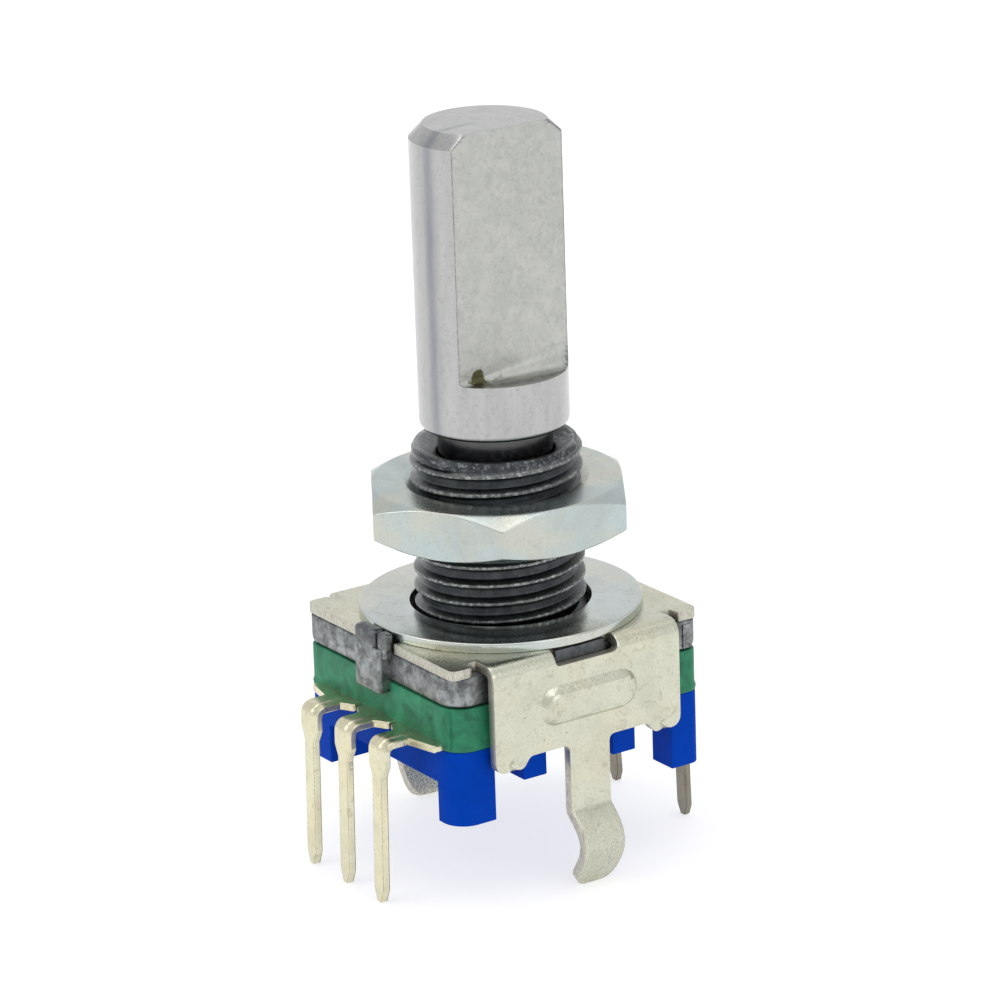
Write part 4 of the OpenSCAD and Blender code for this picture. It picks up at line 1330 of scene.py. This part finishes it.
class ENCODER_OT_switch_contacts(bpy.types.Operator):
    """Make the switch's two contacts, whose pins come out behind the body"""
    bl_idname = "encoder.switch_contacts"
    bl_label = "Switch contacts"

    def execute(self, context):
        s = settings(context, "encoder_pins")
        dull = plated_metal("switch_pin_metal", s.dull, (0.12, 0.09, 0.06), gloss=0.34, cloud=0.8, pits=0.4,
                            scratch=0.5)
        for node, side, lean in (("switch_contact_d", -1, 0.30), ("switch_contact_e", 1, 0.14)):
            obj = put("bent_" + node, self.shells(s, node, side, lean))
            settle(obj, "body", "switch_pin_metal", dull, node)
        return {"FINISHED"}

    def shells(self, s, node, side, lean):
        """A strip from inside the switch out to the bend and down, leaning sideways by lean·t².

        t is the share of the way down. The -X contact ends in a disc under the dome's middle, and
        the +X one in a ring that the dome's rim stands on.
        """
        low, high = box(node)
        seat = box("snap_dome")[0][2]
        level = seat - 0.2 - s.switch_sheet / 2
        y_pin = high[1] - s.switch_sheet / 2
        path = route([(0.0, level), (y_pin, level), (y_pin, low[2])], [0.36])
        pin = s.pin / 2
        half = np.interp(path[:, 1], [low[2], low[2] + 0.45, level - 0.5, level], [s.tip, pin, pin, pin])
        points, faces = strip(path, half, half, s.switch_sheet, 0.04)
        share = np.clip(level - points[:, 2], 0, None) / (level - low[2])
        points[:, 0] += side * s.spacing + lean * share**2
        angle = ring_angles(64)
        if side < 0:
            arm = soft_block((-2.6, -0.35, level - 0.12), (0.1, 0.35, level + 0.12), 0.1, 0.03)
            rows = profile(len(angle), (0, level - 0.1), (0.7, level - 0.1), (0.7, seat), (0, seat))
            end = skin(around(soften(rows, [0.02, 0.03]), angle))
        else:
            arm = soft_block((2.3, -0.3, level), (2.7, 0.3, seat - 0.05), 0.1, 0.02)
            under = seat - 0.1
            rows = profile(
                len(angle), (2.5, under), (2.8, under), (2.8, seat), (2.2, seat), (2.2, under),
                (2.5, under))
            end = skin(around(soften(rows, [0.02] * 4)[:-1], angle), closed=True)
        return [(points, faces), arm, end]


class ENCODER_OT_dome(bpy.types.Operator):
    """Make the snap dome and the film over it"""
    bl_idname = "encoder.dome"
    bl_label = "Snap dome and film"

    def execute(self, context):
        steel = plated_metal("dome_metal", (0.66, 0.66, 0.67), (0.4, 0.4, 0.4), gloss=0.2, pits=0.1)
        amber = moulded_plastic("film", (0.62, 0.36, 0.06), gloss=0.2, mottle=0.15)
        for node, name, slot, finish in (("snap_dome", "steel_snap_dome", "dome_metal", steel),
                                         ("dome_film", "amber_dome_film", "film", amber)):
            low, high = box(node)
            obj = settle(merged_copy(node, name), "body", slot, finish, node)
            keep = 1 - travel("plunger_press") / (high[2] - low[2])
            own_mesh(obj)
        return {"FINISHED"}


class ENCODER_OT_inner_parts(bpy.types.Operator):
    """Give the CAD's own inner pieces their finishes"""
    bl_idname = "encoder.inner_parts"
    bl_label = "Inner parts"

    def execute(self, context):
        finishes = {
            "retaining_ring": plated_metal("spring_steel", (0.42, 0.43, 0.46), (0.2, 0.2, 0.2), gloss=0.3),
            "thrust_washer": moulded_plastic("thrust_plastic", (0.72, 0.70, 0.62), gloss=0.45, mottle=0.08),
            "rotor": moulded_plastic("rotor_plastic", (0.018, 0.018, 0.02), gloss=0.45, mottle=0.3,
                                     lines=0.002),
            "code_plate": plated_metal("code_metal", (0.83, 0.62, 0.28), (0.45, 0.3, 0.12), gloss=0.22,
                                       pits=0.2),
            "detent_spring": plated_metal("detent_metal", (0.72, 0.69, 0.6), (0.4, 0.36, 0.28),
                                          gloss=0.25, pits=0.2),
            "switch_plunger": moulded_plastic("plunger_plastic", (0.80, 0.80, 0.77), gloss=0.4,
                                              mottle=0.06),
        }
        for node, material in finishes.items():
            for slot in frame["nodes"][node].material_slots:
                slot.material = material
        return {"FINISHED"}


OPERATORS = (
    ENCODER_OT_stage,
    ENCODER_OT_shaft,
    ENCODER_OT_housing,
    ENCODER_OT_fasteners,
    ENCODER_OT_bracket,
    ENCODER_OT_mouldings,
    ENCODER_OT_terminals,
    ENCODER_OT_switch_contacts,
    ENCODER_OT_dome,
    ENCODER_OT_inner_parts,
)


class ENCODER_PT_panel(bpy.types.Panel):
    """Lists the encoder's pieces"""
    bl_idname = "ENCODER_PT_panel"
    bl_label = "Rotary Encoder"
    bl_space_type = "VIEW_3D"
    bl_region_type = "UI"
    bl_category = "Encoder"

    def draw(self, context):
        column = self.layout.column(align=True)
        for operator in OPERATORS:
            column.operator(operator.bl_idname)
        for key, group in SETTINGS.items():
            part = self.layout.box()
            part.label(text=group.__doc__)
            for name in group.__annotations__:
                part.prop(getattr(context.scene, key), name)


CLASSES = (*SETTINGS.values(), *OPERATORS, ENCODER_PT_panel)


def register():
    """Registers the classes and hangs the settings on the scene."""
    for cls in CLASSES:
        bpy.utils.register_class(cls)
    for key, group in SETTINGS.items():
        setattr(bpy.types.Scene, key, PointerProperty(type=group))


def unregister():
    """Undoes register."""
    for key in SETTINGS:
        delattr(bpy.types.Scene, key)
    for cls in reversed(CLASSES):
        bpy.utils.unregister_class(cls)


def main():
    """Builds every piece in order."""
    register()
    for operator in OPERATORS:
        family, name = operator.bl_idname.split(".")
        getattr(getattr(bpy.ops, family), name)()


if __name__ == "__main__":
    main()
